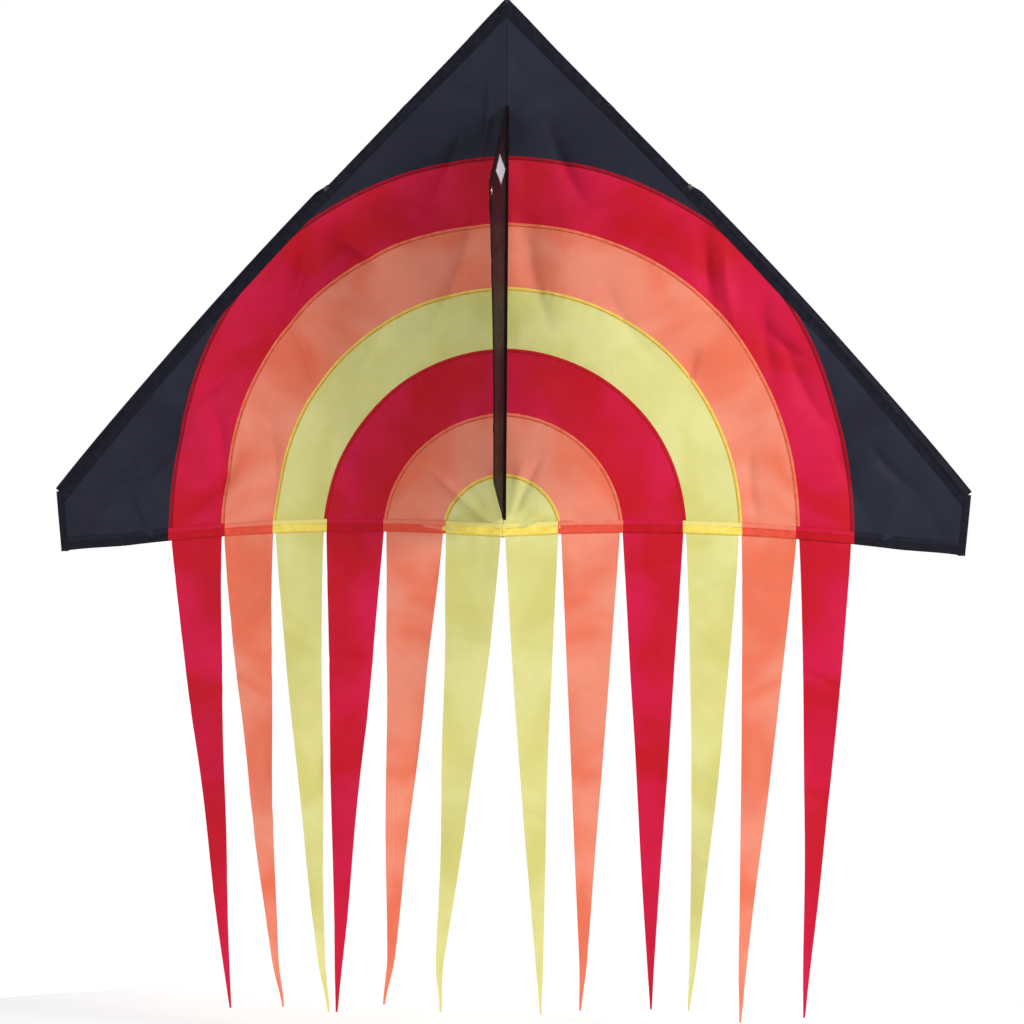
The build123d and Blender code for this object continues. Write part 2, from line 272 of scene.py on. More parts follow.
def line_normals(line):
    """Unit vectors square to a polyline, on its left."""
    along = np.gradient(line, axis=0)
    along /= np.linalg.norm(along, axis=1, keepdims=True)
    return np.stack([-along[:, 1], along[:, 0]], axis=1)


# ---------------------------------------------------------------- the shape of the sail


def soft_fold(distance, width):
    """A crease with a rounded ridge."""
    return np.exp(-np.abs(distance) ** 1.5 / width**1.5)


def folds(side, u, z):
    """The folds that pull across the cloth."""
    total = np.zeros_like(u)
    for u0, z0, u1, z1, height, width in FOLDS[side]:
        start = np.array([u0, z0]) * MM
        run = np.array([u1 - u0, z1 - z0]) * MM
        length = np.hypot(*run)
        t = ((u - start[0]) * run[0] + (z - start[1]) * run[1]) / length**2
        bow = 0.05 * length * np.sin(np.pi * np.clip(t, 0, 1))
        across = ((u - start[0]) * run[1] - (z - start[1]) * run[0]) / length - bow
        taper = np.sin(np.pi * np.clip(t, 0, 1)) ** 0.8
        total += FOLD_RISE * height * MM * taper * soft_fold(across, width * MM)
        beside = across + 0.25 * width * MM
        total += CREASE_RISE * height * MM * taper * soft_fold(beside, 0.42 * width * MM)
    return total


def rays(side, u, z):
    """Puckers that radiate from the foot of the spine."""
    across, up = u, z - float(trailing_z(0.0))
    radius = np.hypot(across, up)
    angle = np.degrees(np.arctan2(up, across))
    shift = 2.5 if side == "left" else -1.5
    total = np.zeros_like(u)
    for index, ray in enumerate(RAYS):
        offset = (angle - ray - shift * math.sin(2.1 * index)) * np.pi / 180 * radius
        reach = (110 + 75 * math.sin(1.7 * index + shift)) * MM
        height = (3.2 + 1.4 * math.sin(2.9 * index)) * MM * (1 if index % 2 else -0.8)
        fade = smooth(radius, 6 * MM, 34 * MM) * (1 - smooth(radius, 0.5 * reach, reach))
        total += height * soft_fold(offset, 6.5 * MM) * fade
    return total


def puckers(u, z):
    """The small ripples that stitching leaves beside the seams."""
    total = np.zeros_like(u)
    for index, ring in enumerate(RINGS):
        mean = (ring[0] + ring[1]) / 2
        up = (z - BAND_CENTRE_Z) / ring[1]
        rho = np.hypot(u / ring[0], up)
        arc = np.arctan2(up, u / ring[0]) * mean
        wave = np.sin(arc / (3.1 * MM) + 2.0 * np.sin(arc / (23 * MM) + index))
        strength = 0.22 + 0.16 * np.sin(arc / (61 * MM) + 2 * index)
        total += strength * MM * wave * np.exp(-(((rho - 1) * mean) / (11 * MM)) ** 2)
    edge = z - trailing_z(u)
    hem = np.sin(u / (4.3 * MM) + 1.8 * np.sin(u / (31 * MM)))
    total += 0.30 * MM * hem * np.exp(-((edge / (16 * MM)) ** 2))
    return total


def crumple(side, u, z):
    """Broad unevenness, and faint flat facets left by folding the sail away."""
    generator = np.random.RandomState(11 if side == "left" else 23)
    total = np.zeros_like(u)
    for _ in range(WAVES):
        direction = generator.uniform(0, np.pi)
        wave = generator.uniform(70, 260) * MM
        phase = generator.uniform(0, 2 * np.pi)
        across = u * math.cos(direction) + z * math.sin(direction)
        total += WAVE_RISE * wave * np.sin(2 * np.pi * across / wave + phase)
    for _ in range(FACETS):
        direction = generator.uniform(0, np.pi)
        centre = (generator.uniform(30, 640) * MM, generator.uniform(-840, -120) * MM)
        reach = generator.uniform(60, 170) * MM
        slope = generator.uniform(-FACET_SLOPE, FACET_SLOPE)
        across = (u - centre[0]) * math.cos(direction) + (z - centre[1]) * math.sin(direction)
        along = -(u - centre[0]) * math.sin(direction) + (z - centre[1]) * math.cos(direction)
        window = np.exp(-(across**2 + along**2) / reach**2)
        total += slope * np.sqrt(across**2 + (3 * MM) ** 2) * window
    return total


def sail_back(side, u, z):
    """How far the cloth stands behind the flat wing."""
    width = np.maximum(np.minimum(-z, 0.76), 0.02) * 0.965
    share = np.clip(u / width, 0, 1)
    depth = sizes().billow * smooth(-z, 0.02, 0.75)
    inside = leading_inset(u, z)
    free = smooth(inside, 0.014, 0.075)
    tip = 1 - 0.75 * smooth(u, 0.56, 0.70)
    curve = depth * np.sin(np.pi * share**0.80) * (1 - 0.25 * share)
    near_spine = smooth(u, 0, 0.030)
    detail = folds(side, u, z) + crumple(side, u, z) + rays(side, u, z)
    back = (curve * near_spine + detail * smooth(u, 0.004, 0.030)) * free * tip
    back += puckers(u, z) * smooth(inside, 0.010, 0.030)
    return back - 0.0009 * np.exp(-((u / 0.009) ** 2))


def drawn_out(side, u, z):
    """How far the cloth is drawn sideways, the left half more and nearer the spine."""
    if side == "right":
        return 0.003 * smooth(u, 0.30, 0.47) * (1 - smooth(u, 0.56, 0.69)) * smooth(-z, 0.55, 0.83)
    ease = smooth(u, 0.0, 0.10) * (1 - smooth(u, 0.24, 0.46))
    return 0.0085 * ease * smooth(-z, 0.45, 0.83)


def edge_ease(along, reach=SLEEVE_EASE_REACH):
    """How far the outer fold of the sleeve stands outside the cut line, from the nose to the tip."""
    above = EASE_ABOVE * smooth(along, 0.03, 0.12)
    below = EASE_BELOW + EASE_TIP * smooth(along, 0.75, 1.03)
    return above + below * smooth(along, FITTING_AT - reach[0], FITTING_AT + reach[1])


def eased(u, z):
    """Flat points moved with the outer fold, all of it at the edge and none well inside."""
    inside = leading_inset(u, z)
    fade = 1 - smooth(inside, 0.016, 0.085) * (1 - 0.85 * smooth(u, 0.60, 0.70))
    move = edge_ease(leading_along(u, z), CLOTH_EASE_REACH) * fade * DIAGONAL
    return u + move * smooth(u, 0.0, 0.02), z + move * smooth(u, 0.0, 0.02)


def on_wing(side, u, z, lift, back):
    """Points in the kite's frame for flat points of one half that are already eased and drawn out."""
    out = np.sqrt((u - HINGE_U) ** 2 + 0.003**2) + (u - HINGE_U)
    depth = back - lift
    x = u * math.cos(DIHEDRAL) - depth * math.sin(DIHEDRAL) * smooth(u, 0, 0.02)
    y = out / 2 * math.sin(DIHEDRAL) + depth * math.cos(DIHEDRAL)
    return np.stack([SIDES[side] * x, y, z], axis=-1)


def place(side, u, z, lift=0.0, back=None):
    """Points in the kite's frame for flat points of one half, lifted towards the front."""
    if back is None:
        back = sail_back(side, u, z)
    u, z = eased(u, z)
    return on_wing(side, u + drawn_out(side, u, z), z, lift, back)


# ---------------------------------------------------------------- meshes

CREASE_ANGLE = math.radians(50)
STITCH_GAP = 0.12  # the share of a stitch that is left bare at each of its ends


def grid_faces(rows, columns, start=0):
    corner = np.arange(rows - 1)[:, None] * columns + np.arange(columns - 1)[None, :] + start
    return np.stack([corner, corner + 1, corner + columns + 1, corner + columns], -1).reshape(-1, 4)


def rim_faces(rows, columns):
    """Quads round the edge of two stacked grids."""
    index = np.arange(rows * columns).reshape(rows, columns)
    loop = np.concatenate([index[0, :-1], index[:-1, -1], index[-1, :0:-1], index[:0:-1, 0]])
    after = np.roll(loop, -1)
    return np.stack([loop + rows * columns, after + rows * columns, after, loop], -1)


def outward(points, faces):
    """The faces turned so that the solid's volume is positive."""
    a, b, c, d = (points[faces[:, k]] for k in range(4))
    volume = np.einsum("ij,ij->", a, np.cross(b, c)) + np.einsum("ij,ij->", a, np.cross(c, d))
    return faces if volume > 0 else faces[:, ::-1]


def thin_solid(front, back):
    """Points and faces of a closed sheet between two grids."""
    rows, columns = front.shape[:2]
    points = np.concatenate([front.reshape(-1, 3), back.reshape(-1, 3)])
    count = rows * columns
    faces = [grid_faces(rows, columns), grid_faces(rows, columns, count)[:, ::-1], rim_faces(rows, columns)]
    return points, outward(points, np.concatenate(faces))


def put_in_scene(name, data):
    """A new object that holds a mesh, a light or a camera."""
    piece = bpy.data.objects.new(name, data)
    bpy.context.scene.collection.objects.link(piece)
    return piece


def make_piece(name, points, faces, finishes, slots=None, crease=True):
    """A mesh object with smooth shading, creased along its sharper edges."""
    mesh = bpy.data.meshes.new(name)
    mesh.from_pydata(np.asarray(points).tolist(), [], faces)
    for finish in finishes:
        mesh.materials.append(finish_named(finish))
    if slots is not None:
        mesh.polygons.foreach_set("material_index", np.asarray(slots, np.int32))
    mesh.polygons.foreach_set("use_smooth", np.ones(len(mesh.polygons), bool))
    if crease:
        mesh.set_sharp_from_angle(angle=CREASE_ANGLE)
    mesh.update()
    return put_in_scene(name, mesh)


def cloth_sheet(name, skins, finish, keep=None):
    """A sheet of cloth from the grids of its two faces, with only the cells to keep."""
    points, faces = thin_solid(*skins) if keep is None else cut_solid(*skins, keep)
    return make_piece(name, points, faces.tolist(), [finish])


def flat_area(u, z):
    """Area of a flat grid of points."""
    du, dz = u[1:, 1:] - u[:-1, :-1], z[1:, 1:] - z[:-1, :-1]
    eu, ez = u[1:, :-1] - u[:-1, 1:], z[1:, :-1] - z[:-1, 1:]
    return float(np.abs(du * ez - dz * eu).sum() / 2)


def hold_to_wing(piece, side):
    """Rides on the wing, or stays where it is, unattached, where the cloth crosses the fold."""
    nearest = min(abs(vertex.co.x) for vertex in piece.data.vertices)
    if nearest < BEND_U:
        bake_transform(piece)
    else:
        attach(piece, f"wing_{side}")


def tube_segments(starts, ends, radius, sides=5):
    """Short lengths of thread, each a closed prism."""
    run = ends - starts
    length = np.linalg.norm(run, axis=1, keepdims=True)
    run = run / np.maximum(length, 1e-9)
    helper = np.where(np.abs(run[:, 1:2]) < 0.8, [[0.0, 1.0, 0.0]], [[1.0, 0.0, 0.0]])
    first = np.cross(run, helper)
    first /= np.linalg.norm(first, axis=1, keepdims=True)
    second = np.cross(run, first)
    angles = np.arange(sides) * 2 * np.pi / sides
    ring = first[:, None] * np.cos(angles)[:, None] + second[:, None] * np.sin(angles)[:, None]
    low = starts[:, None] + 0.55 * radius * ring - run[:, None] * radius * 0.6
    middle = (starts + ends)[:, None] / 2 + radius * ring
    high = ends[:, None] + 0.55 * radius * ring + run[:, None] * radius * 0.6
    points = np.concatenate([low, middle, high], axis=1).reshape(-1, 3)
    faces = []
    for level in range(2):
        for k in range(sides):
            j = (k + 1) % sides
            base = level * sides
            faces.append([base + k, base + j, base + sides + j, base + sides + k])
    quads = np.array(faces)[None] + (np.arange(len(starts)) * 3 * sides)[:, None, None]
    caps = np.array([list(range(sides))[::-1], [2 * sides + k for k in range(sides)]])
    caps = caps[None] + (np.arange(len(starts)) * 3 * sides)[:, None, None]
    return points, quads.reshape(-1, 4), caps.reshape(-1, sides)


def thread_piece(name, runs, threads):
    """One object of many stitches. Each run is starts, ends and the number of its thread."""
    points, faces, slots, count = [], [], [], 0
    for starts, ends, number in runs:
        new_points, quads, caps = tube_segments(starts, ends, sizes().thread)
        faces += (quads + count).tolist() + (caps + count).tolist()
        slots += [number] * (len(quads) + len(caps))
        points.append(new_points)
        count += len(new_points)
    return make_piece(name, np.concatenate(points), faces, threads, slots, crease=False)


def even_steps(points, step):
    """Places at an even spacing along a polyline of flat points."""
    count = max(2, int(round(travelled(points)[-1] / step)) + 1)
    return resampled(points, count)[0]


def zigzag(points, pitch, swing):
    """A zigzag line about a polyline of flat points."""
    line = even_steps(points, pitch / 2)
    return line + line_normals(line) * (swing / 2 * (-1.0) ** np.arange(len(line)))[:, None]


def lock_stitch(points, stitch):
    """The two ends of each stitch of a straight seam."""
    line = even_steps(points, stitch)
    gap = (line[1:] - line[:-1]) * STITCH_GAP
    return line[:-1] + gap, line[1:] - gap


def sail_stitches(side, starts, ends, lift, number=0):
    """Stitches between flat points of the sail, on the front or the back face, and their thread."""
    return (*[place(side, points[:, 0], points[:, 1], lift) for points in (starts, ends)], number)


def keel_stitches(starts, ends, lift):
    """Stitches between flat points of the keel, on one of its faces."""
    return (*[keel_points(points[:, 0], points[:, 1], lift) for points in (starts, ends)], 0)


# ---------------------------------------------------------------- finishes


class Value:
    """A socket that takes part in Python arithmetic."""

    def __init__(self, finish, socket):
        self.finish = finish
        self.socket = socket

    def maths(self, operation, *numbers):
        inputs = dict(enumerate(numbers))
        return self.finish.add("ShaderNodeMath", {"operation": operation}, inputs)

    def __add__(self, other):
        return self.maths("ADD", self, other)

    def __radd__(self, other):
        return self.maths("ADD", other, self)

    def __sub__(self, other):
        return self.maths("SUBTRACT", self, other)

    def __rsub__(self, other):
        return self.maths("SUBTRACT", other, self)

    def __mul__(self, other):
        return self.maths("MULTIPLY", self, other)

    def sine(self):
        return self.maths("SINE", self)

    def fold_back(self, scale):
        return self.maths("PINGPONG", self, scale)


class Finish:
    """One material and the nodes that make it."""

    def __init__(self, name):
        self.material = bpy.data.materials.new(name)
        self.material.use_nodes = True
        self.nodes = self.material.node_tree.nodes
        self.links = self.material.node_tree.links
        self.nodes.clear()

    def add(self, kind, settings=None, inputs=None, output=0):
        """Adds a node: its type, then its settings, then its sockets' values or links."""
        node = self.nodes.new(kind)
        for name, value in (settings or {}).items():
            setattr(node, name, value)
        for name, value in (inputs or {}).items():
            if isinstance(value, Value):
                self.links.new(value.socket, node.inputs[name])
            else:
                node.inputs[name].default_value = value
        return Value(self, node.outputs[output])

    def mix(self, factor, first, second):
        """Mixes two colours."""
        settings = {"data_type": "RGBA", "blend_type": "MIX", "clamp_factor": True}
        return self.add("ShaderNodeMix", settings, {0: factor, 6: first, 7: second}, output=2)

    def band(self, value, low, high):
        """0 below low, 1 above high, smooth between them."""
        inputs = {"Value": value, "From Min": low, "From Max": high}
        return self.add("ShaderNodeMapRange", {"interpolation_type": "SMOOTHSTEP"}, inputs)

    def noise(self, place, scale, detail=3.0, roughness=0.5, distortion=0.0):
        inputs = {"Vector": place, "Scale": scale, "Detail": detail, "Roughness": roughness}
        inputs["Distortion"] = distortion
        return self.add("ShaderNodeTexNoise", None, inputs)

    def stretched(self, place, factors):
        return self.add("ShaderNodeVectorMath", {"operation": "MULTIPLY"}, {0: place, 1: factors})

    def where(self):
        """The point's own place on the object."""
        return self.add("ShaderNodeTexCoord", output="Object")

    def flat_place(self):
        """The point's place on the flat cloth: out, up and how deep in a hem."""
        return self.add("ShaderNodeAttribute", {"attribute_name": "flat"}, output="Vector")

    def parts(self, place):
        node = self.add("ShaderNodeSeparateXYZ", None, {0: place}).socket.node
        return [Value(self, socket) for socket in node.outputs]

    def bump(self, height, distance, strength=1.0, under=None):
        inputs = {"Height": height, "Distance": distance, "Strength": strength}
        if under is not None:
            inputs["Normal"] = under
        return self.add("ShaderNodeBump", None, inputs)

    def surface(self, inputs):
        """Ends the material with its shader, and returns it."""
        shader = self.add("ShaderNodeBsdfPrincipled", None, inputs)
        node = self.nodes.new("ShaderNodeOutputMaterial")
        self.links.new(shader.socket, node.inputs["Surface"])
        return self.material


def rgba(colour, scale=1.0):
    return tuple(min(1.0, channel * scale) for channel in colour) + (1.0,)


# The pitch of the cloth's doubled threads, their width, and the pitch of its weave
RIPSTOP_PITCH = 5.2 * MM
RIPSTOP_RIB = 0.55 * MM
WEAVE_PITCH = 0.85 * MM


def cloth_finish(name, base, second):
    """Ripstop: plain weave with a grid of doubled threads, faintly uneven and crinkled, with painted light
    and shade in broad random patches of a second colour.
    """
    finish = Finish(name)
    place = finish.flat_place()
    out, up, _ = finish.parts(place)
    across = finish.band(out.fold_back(RIPSTOP_PITCH / 2), 0.0, RIPSTOP_RIB)
    along = finish.band(up.fold_back(RIPSTOP_PITCH / 2), 0.0, RIPSTOP_RIB)
    grid = 1 - across * along
    threads = 2 * math.pi / WEAVE_PITCH
    weave = (out * threads).sine() * (up * threads).sine()
    painted_light_patches = finish.band(finish.noise(place, 7.0, 2.0, 0.5, 0.6), 0.36, 0.66)
    mottle = finish.noise(place, 46.0, 4.0, 0.6)
    crinkle = finish.noise(finish.stretched(place, (1.0, 0.45, 1.0)), 120.0, 3.0, 0.6, 1.2)
    # Painted light and shade: the second colour is a darker copy of the cloth's colour standing for shade
    # (a lighter one, standing for light, on the black and the keel), laid in broad random patches.
    colour = finish.mix(painted_light_patches, rgba(base), rgba(second))
    colour = finish.mix(finish.band(mottle, 0.2, 0.8) * 0.22, colour, rgba(base, 0.78))
    colour = finish.mix(grid * 0.16, colour, rgba(base, 0.62))
    relief = finish.bump(weave * 0.5 + grid * 0.8, 0.00012, 0.55)
    relief = finish.bump(crinkle, 0.0006, 0.35, relief)
    rough = 0.5 + finish.band(mottle, 0.3, 0.7) * 0.12 - grid * 0.05
    return finish.surface({
        "Base Color": colour, "Roughness": rough, "Normal": relief,
        "Sheen Weight": 0.06, "Sheen Roughness": 0.4, "Sheen Tint": rgba(base, 1.3),
        "Specular IOR Level": 0.08,
    })


def doubled_finish(name, base, second, single=None):
    """Two layers sewn together: deeper in colour, and paler above the hem's line of stitches."""
    finish = Finish(name)
    place = finish.flat_place()
    out, up, depth = finish.parts(place)
    threads = 2 * math.pi / WEAVE_PITCH
    weave = (out * threads).sine() * (up * threads).sine()
    streak = finish.noise(place, 85.0, 4.0, 0.6, 0.8)
    dimple = finish.noise(place, 260.0, 2.0, 0.5)
    colour = finish.mix(finish.band(streak, 0.32, 0.7), rgba(base), rgba(second))
    colour = finish.mix(finish.band(dimple, 0.45, 0.75) * 0.22, colour, rgba(base, 0.72))
    if single is not None:
        loose = finish.band(depth, 0.0122, 0.0134)
        colour = finish.mix(loose * 0.55, colour, rgba(single))
        colour = finish.mix(finish.band(depth, 0.0188, 0.0196) * 0.5, colour, rgba(base, 0.7))
    relief = finish.bump(weave, 0.0001, 0.4)
    relief = finish.bump(dimple + streak, 0.0009, 0.5, relief)
    return finish.surface({
        "Base Color": colour, "Roughness": 0.5 + finish.band(dimple, 0.3, 0.7) * 0.15, "Normal": relief,
        "Sheen Weight": 0.05, "Sheen Roughness": 0.4, "Sheen Tint": rgba(base, 1.3),
        "Specular IOR Level": 0.08,
    })


def thread_finish(name, base):
    """Twisted thread."""
    finish = Finish(name)
    fuzz = finish.noise(finish.where(), 2600.0, 2.0)
    colour = finish.mix(finish.band(fuzz, 0.3, 0.7), rgba(base, 0.6), rgba(base, 1.5))
    return finish.surface({
        "Base Color": colour, "Roughness": 0.55 + fuzz * 0.2, "Normal": finish.bump(fuzz, 0.0001, 0.6),
        "Sheen Weight": 0.08, "Specular IOR Level": 0.1,
    })


def webbing_finish(name, base):
    """Narrow woven tape with slanting ribs."""
    finish = Finish(name)
    place = finish.where()
    x, y, z = finish.parts(place)
    ribs = ((x + z * 0.6 + y) * (2 * math.pi / 0.0013)).sine()
    grain = finish.noise(place, 900.0, 3.0)
    colour = finish.mix(finish.band(ribs, -0.6, 0.8), rgba(base, 0.55), rgba(base, 1.7))
    colour = finish.mix(grain * 0.4, colour, rgba(base, 1.2))
    relief = finish.bump(ribs + grain * 0.6, 0.00025, 0.8)
    return finish.surface({"Base Color": colour, "Roughness": 0.6 + grain * 0.2, "Normal": relief})


def rod_finish(name, base):
    """Drawn glass fibre: long fine streaks under a thin gloss."""
    finish = Finish(name)
    place = finish.where()
    streak = finish.noise(finish.stretched(place, (1.0, 1.0, 0.06)), 1500.0, 3.0, 0.6)
    scuff = finish.band(finish.noise(place, 60.0, 4.0, 0.7), 0.55, 0.72)
    colour = finish.mix(finish.band(streak, 0.35, 0.7), rgba(base, 0.7), rgba(base, 1.9))
    colour = finish.mix(scuff * 0.35, colour, rgba((0.09, 0.09, 0.095)))
    rough = 0.3 + streak * 0.15 + scuff * 0.2
    return finish.surface({
        "Base Color": colour, "Roughness": rough, "Normal": finish.bump(streak, 0.00005, 0.6),
        "Coat Weight": 0.35 - scuff * 0.25, "Coat Roughness": 0.2,
    })


def moulded_finish(name, base):
    """Moulded plastic with a fine spark-eroded grain, worn a little pale at its high spots."""
    finish = Finish(name)
    place = finish.where()
    grain = finish.noise(place, 1700.0, 2.0, 0.6)
    cloud = finish.noise(place, 130.0, 3.0)
    edge = finish.add("ShaderNodeNewGeometry", output="Pointiness")
    wear = finish.band(edge, 0.53, 0.60) * finish.band(cloud, 0.35, 0.6)
    colour = finish.mix(finish.band(cloud, 0.3, 0.7), rgba(base, 0.8), rgba(base, 1.3))
    colour = finish.mix(wear * 0.5, colour, rgba((0.11, 0.11, 0.115)))
    return finish.surface({
        "Base Color": colour, "Roughness": 0.42 + cloud * 0.14 + grain * 0.08,
        "Normal": finish.bump(grain, 0.00012, 0.5), "Specular IOR Level": 0.45,
    })


def metal_finish(name, base):
    """Plated brass, turned and slightly tarnished."""
    finish = Finish(name)
    place = finish.where()
    rings = finish.noise(place, 1400.0, 3.0, 0.6)
    tarnish = finish.band(finish.noise(place, 300.0, 4.0, 0.65), 0.45, 0.75)
    colour = finish.mix(tarnish * 0.6, rgba(base), rgba((0.30, 0.25, 0.18)))
    return finish.surface({
        "Base Color": colour, "Metallic": 1.0 - tarnish * 0.15, "Roughness": 0.24 + tarnish * 0.25,
        "Normal": finish.bump(rings, 0.00006, 0.4),
    })


def floor_finish(name):
    """Matt pale board."""
    finish = Finish(name)
    place = finish.where()
    grain = finish.noise(place, 320.0, 3.0)
    cloud = finish.noise(place, 3.0, 2.0)
    colour = finish.mix(cloud * 0.4, rgba((0.86, 0.86, 0.86)), rgba((0.80, 0.80, 0.80)))
    return finish.surface({
        "Base Color": colour, "Roughness": 0.85 + grain * 0.1, "Normal": finish.bump(grain, 0.0003, 0.2),
    })


def shifted(colour, scale, warmth=0.0):
    """A colour made deeper or brighter, and warmer or cooler."""
    red, green, blue = colour
    return (red * scale, green * scale * (1 + warmth), blue * scale * (1 - warmth))


# What each finish is made of: its maker, then the colours that it takes
def finish_recipes():
    own = colours()
    red, orange, yellow, black = own.red, own.orange, own.yellow, own.black
    return {
        # The second colour of each cloth is painted light and shade: a darker copy for red, orange, yellow
        # and the patch, a lighter one for the black and the keel.
        "black_cloth": (cloth_finish, black, shifted(black, 1.35)),
        "red_cloth": (cloth_finish, red, (0.56, 0.008, 0.016)),
        "orange_cloth": (cloth_finish, orange, (0.84, 0.165, 0.085)),
        "yellow_cloth": (cloth_finish, yellow, (0.68, 0.64, 0.19)),
        "keel_cloth": (cloth_finish, own.keel, shifted(own.keel, 2.2)),
        "patch_cloth": (cloth_finish, own.patch, shifted(own.patch, 0.85)),
        "black_doubled": (doubled_finish, shifted(black, 0.42), shifted(black, 0.75), black),
        "keel_doubled": (doubled_finish, shifted(own.keel, 0.6), shifted(own.keel, 1.1)),
        "red_doubled": (doubled_finish, (0.58, 0.007, 0.020), (0.50, 0.007, 0.013), red),
        "orange_doubled": (doubled_finish, (0.84, 0.102, 0.062), (0.78, 0.080, 0.040), orange),
        "yellow_doubled": (doubled_finish, (0.96, 0.78, 0.160), (0.90, 0.66, 0.090), yellow),
        "gold_lap": (doubled_finish, (0.88, 0.64, 0.140), (0.86, 0.54, 0.080)),
        "ember_lap": (doubled_finish, (0.88, 0.210, 0.110), (0.82, 0.130, 0.060)),
        "rust_lap": (doubled_finish, (0.60, 0.012, 0.024), (0.52, 0.010, 0.018)),
        "dark_lap": (doubled_finish, (0.42, 0.006, 0.022), (0.34, 0.005, 0.016)),
        "black_thread": (thread_finish, (0.009, 0.009, 0.013)),
        "brown_thread": (thread_finish, (0.200, 0.070, 0.016)),
        "red_thread": (thread_finish, (0.210, 0.010, 0.009)),
        "hem_red_thread": (thread_finish, (0.260, 0.010, 0.012)),
        "hem_orange_thread": (thread_finish, (0.520, 0.040, 0.020)),
        "hem_yellow_thread": (thread_finish, (0.520, 0.300, 0.040)),
        "webbing": (webbing_finish, own.webbing),
        "rod": (rod_finish, own.rod),
        "moulding": (moulded_finish, own.moulding),
        "metal": (metal_finish, own.metal),
        "floor": (floor_finish,),
    }


def finish_named(name):
    """The finished material, made the first time that it is wanted."""
    label = f"{name}_finish"
    found = bpy.data.materials.get(label)
    if found is None:
        maker, *values = finish_recipes()[name]
        found = maker(label, *[tuple(value) for value in values])
    return found


# ---------------------------------------------------------------- the sail


def curve_between(first, second, rows):
    """A grid ruled between two curves of (u, z) points."""
    share = np.linspace(0, 1, rows)[:, None]
    u = first[0] + (second[0] - first[0]) * share
    z = first[1] + (second[1] - first[1]) * share
    return u, z


INNERMOST = (1.0 * MM, 1.0 * MM, 2.0)  # the point that the first band starts from, as a small ring


def band_grid(index):
    """The flat shape of one band, from the trailing edge round to the centre."""
    outer = RINGS[index]
    inner = RINGS[index - 1] if index else INNERMOST
    step = sizes().step
    columns = int(QUARTER_TURN * outer[1] / step)
    rows = max(8, int((outer[0] - inner[0]) / step))
    turn = np.linspace(0, 1, columns)
    outer_turn = ring_end(outer) + (np.pi / 2 - ring_end(outer)) * turn
    outer_curve = ring_point(outer, outer_turn)
    if index:
        inner_turn = ring_end(inner) + (np.pi / 2 - ring_end(inner)) * turn
        inner_curve = ring_point(inner, inner_turn)
    else:
        inner_curve = (inner[0] * np.cos(outer_turn), trailing_z(0.0) + inner[1] * np.sin(outer_turn))
    return curve_between(inner_curve, outer_curve, rows)


def black_grid():
    """The flat shape of the cloth outside the bands, running in under the sleeve."""
    step = sizes().step
    columns = int(1.02 / step)
    cover = 8.5 * MM
    tip_u, tip_z = leading_point(LEADING_LENGTH + 0.6 * cover, cover)
    foot_u, foot_z = TIP_LOWER_U, float(trailing_z(TIP_LOWER_U))
    end_columns = int(0.095 / step)
    down = np.linspace(0, 1, end_columns)
    side_u = foot_u + (float(tip_u) - foot_u) * down
    side_z = foot_z + (float(tip_z) - foot_z) * down
    along = np.linspace(LEADING_LENGTH + 0.6 * cover, cover, columns - end_columns + 1)[1:]
    edge_u, edge_z = leading_point(along, cover)
    outer_curve = (np.concatenate([side_u, edge_u]), np.concatenate([side_z, edge_z]))
    travel = travelled(np.stack(outer_curve, axis=1))
    turn = (travel / travel[-1]) ** 1.12
    ring = RINGS[-1]
    inner_curve = ring_point(ring, ring_end(ring) + (np.pi / 2 - ring_end(ring)) * turn)
    rows = 44
    u, z = curve_between(inner_curve, outer_curve, rows)
    straight = z[0, 0] + (z[-1, 0] - z[0, 0]) * np.linspace(0, 1, rows)
    sag = (trailing_z(u[:, 0]) - straight)[:, None]
    fade = np.clip(1 - np.arange(u.shape[1]) / 22, 0, 1)[None] ** 2
    return u, z + sag * fade


def keep_flat_place(piece, out=None, up=None, depth=None):
    """Stores each point's place on the flat cloth, for the weave, and how deep in a hem it lies."""
    count = len(piece.data.vertices)
    values = np.zeros((count, 3), np.float32)
    if out is None:
        places = np.array([vertex.co for vertex in piece.data.vertices])
        out, up = np.hypot(places[:, 0], places[:, 1]), places[:, 2]
    out, up = np.ravel(out), np.ravel(up)
    for start in range(0, count, len(out)):
        values[start:start + len(out), 0] = out
        values[start:start + len(out), 1] = up
        if depth is not None:
            values[start:start + len(out), 2] = np.ravel(depth)
    attribute = piece.data.attributes.new("flat", "FLOAT_VECTOR", "POINT")
    attribute.data.foreach_set("vector", values.ravel())


def sail_panel(name, side, grid, colour, cut):
    """A sheet of cloth on the sail."""
    half = sizes().cloth / 2
    back = sail_back(side, *grid)
    skins = [place(side, *grid, grow, back) for grow in (half, -half)]
    piece = cloth_sheet(name, skins, f"{colour}_cloth")
    hold_to_wing(piece, side)
    min(flat_area(*grid), cut[0] * cut[1])
    keep_flat_place(piece, *grid)
    return piece


class KITE_OT_bands(bpy.types.Operator):
    """Cuts and sets the six coloured bands of each half"""

    bl_idname = "kite.bands"
    bl_label = "Coloured bands"

    def execute(self, context):
        for side in SIDES:
            for index, band in enumerate(BANDS):
                across, along, _ = RINGS[index]
                width = across if index == 0 else along - RINGS[index - 1][1]
                length = along if index == 0 else (across + along) / 2 * math.pi / 2
                cut = (width, length)
                piece = sail_panel(f"cloth_{band}_{side}", side, band_grid(index), colour_of(band), cut)
                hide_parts(f"band_{band}_{side}")
        return {"FINISHED"}


class KITE_OT_black(bpy.types.Operator):
    """Cuts and sets the black cloth outside the bands"""

    bl_idname = "kite.black"
    bl_label = "Black panels"

    def execute(self, context):
        for side in SIDES:
            piece = sail_panel(f"cloth_black_{side}", side, black_grid(), "black", (1.04, 0.20))
            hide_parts(f"sail_black_{side}")
        return {"FINISHED"}


# ---------------------------------------------------------------- seams

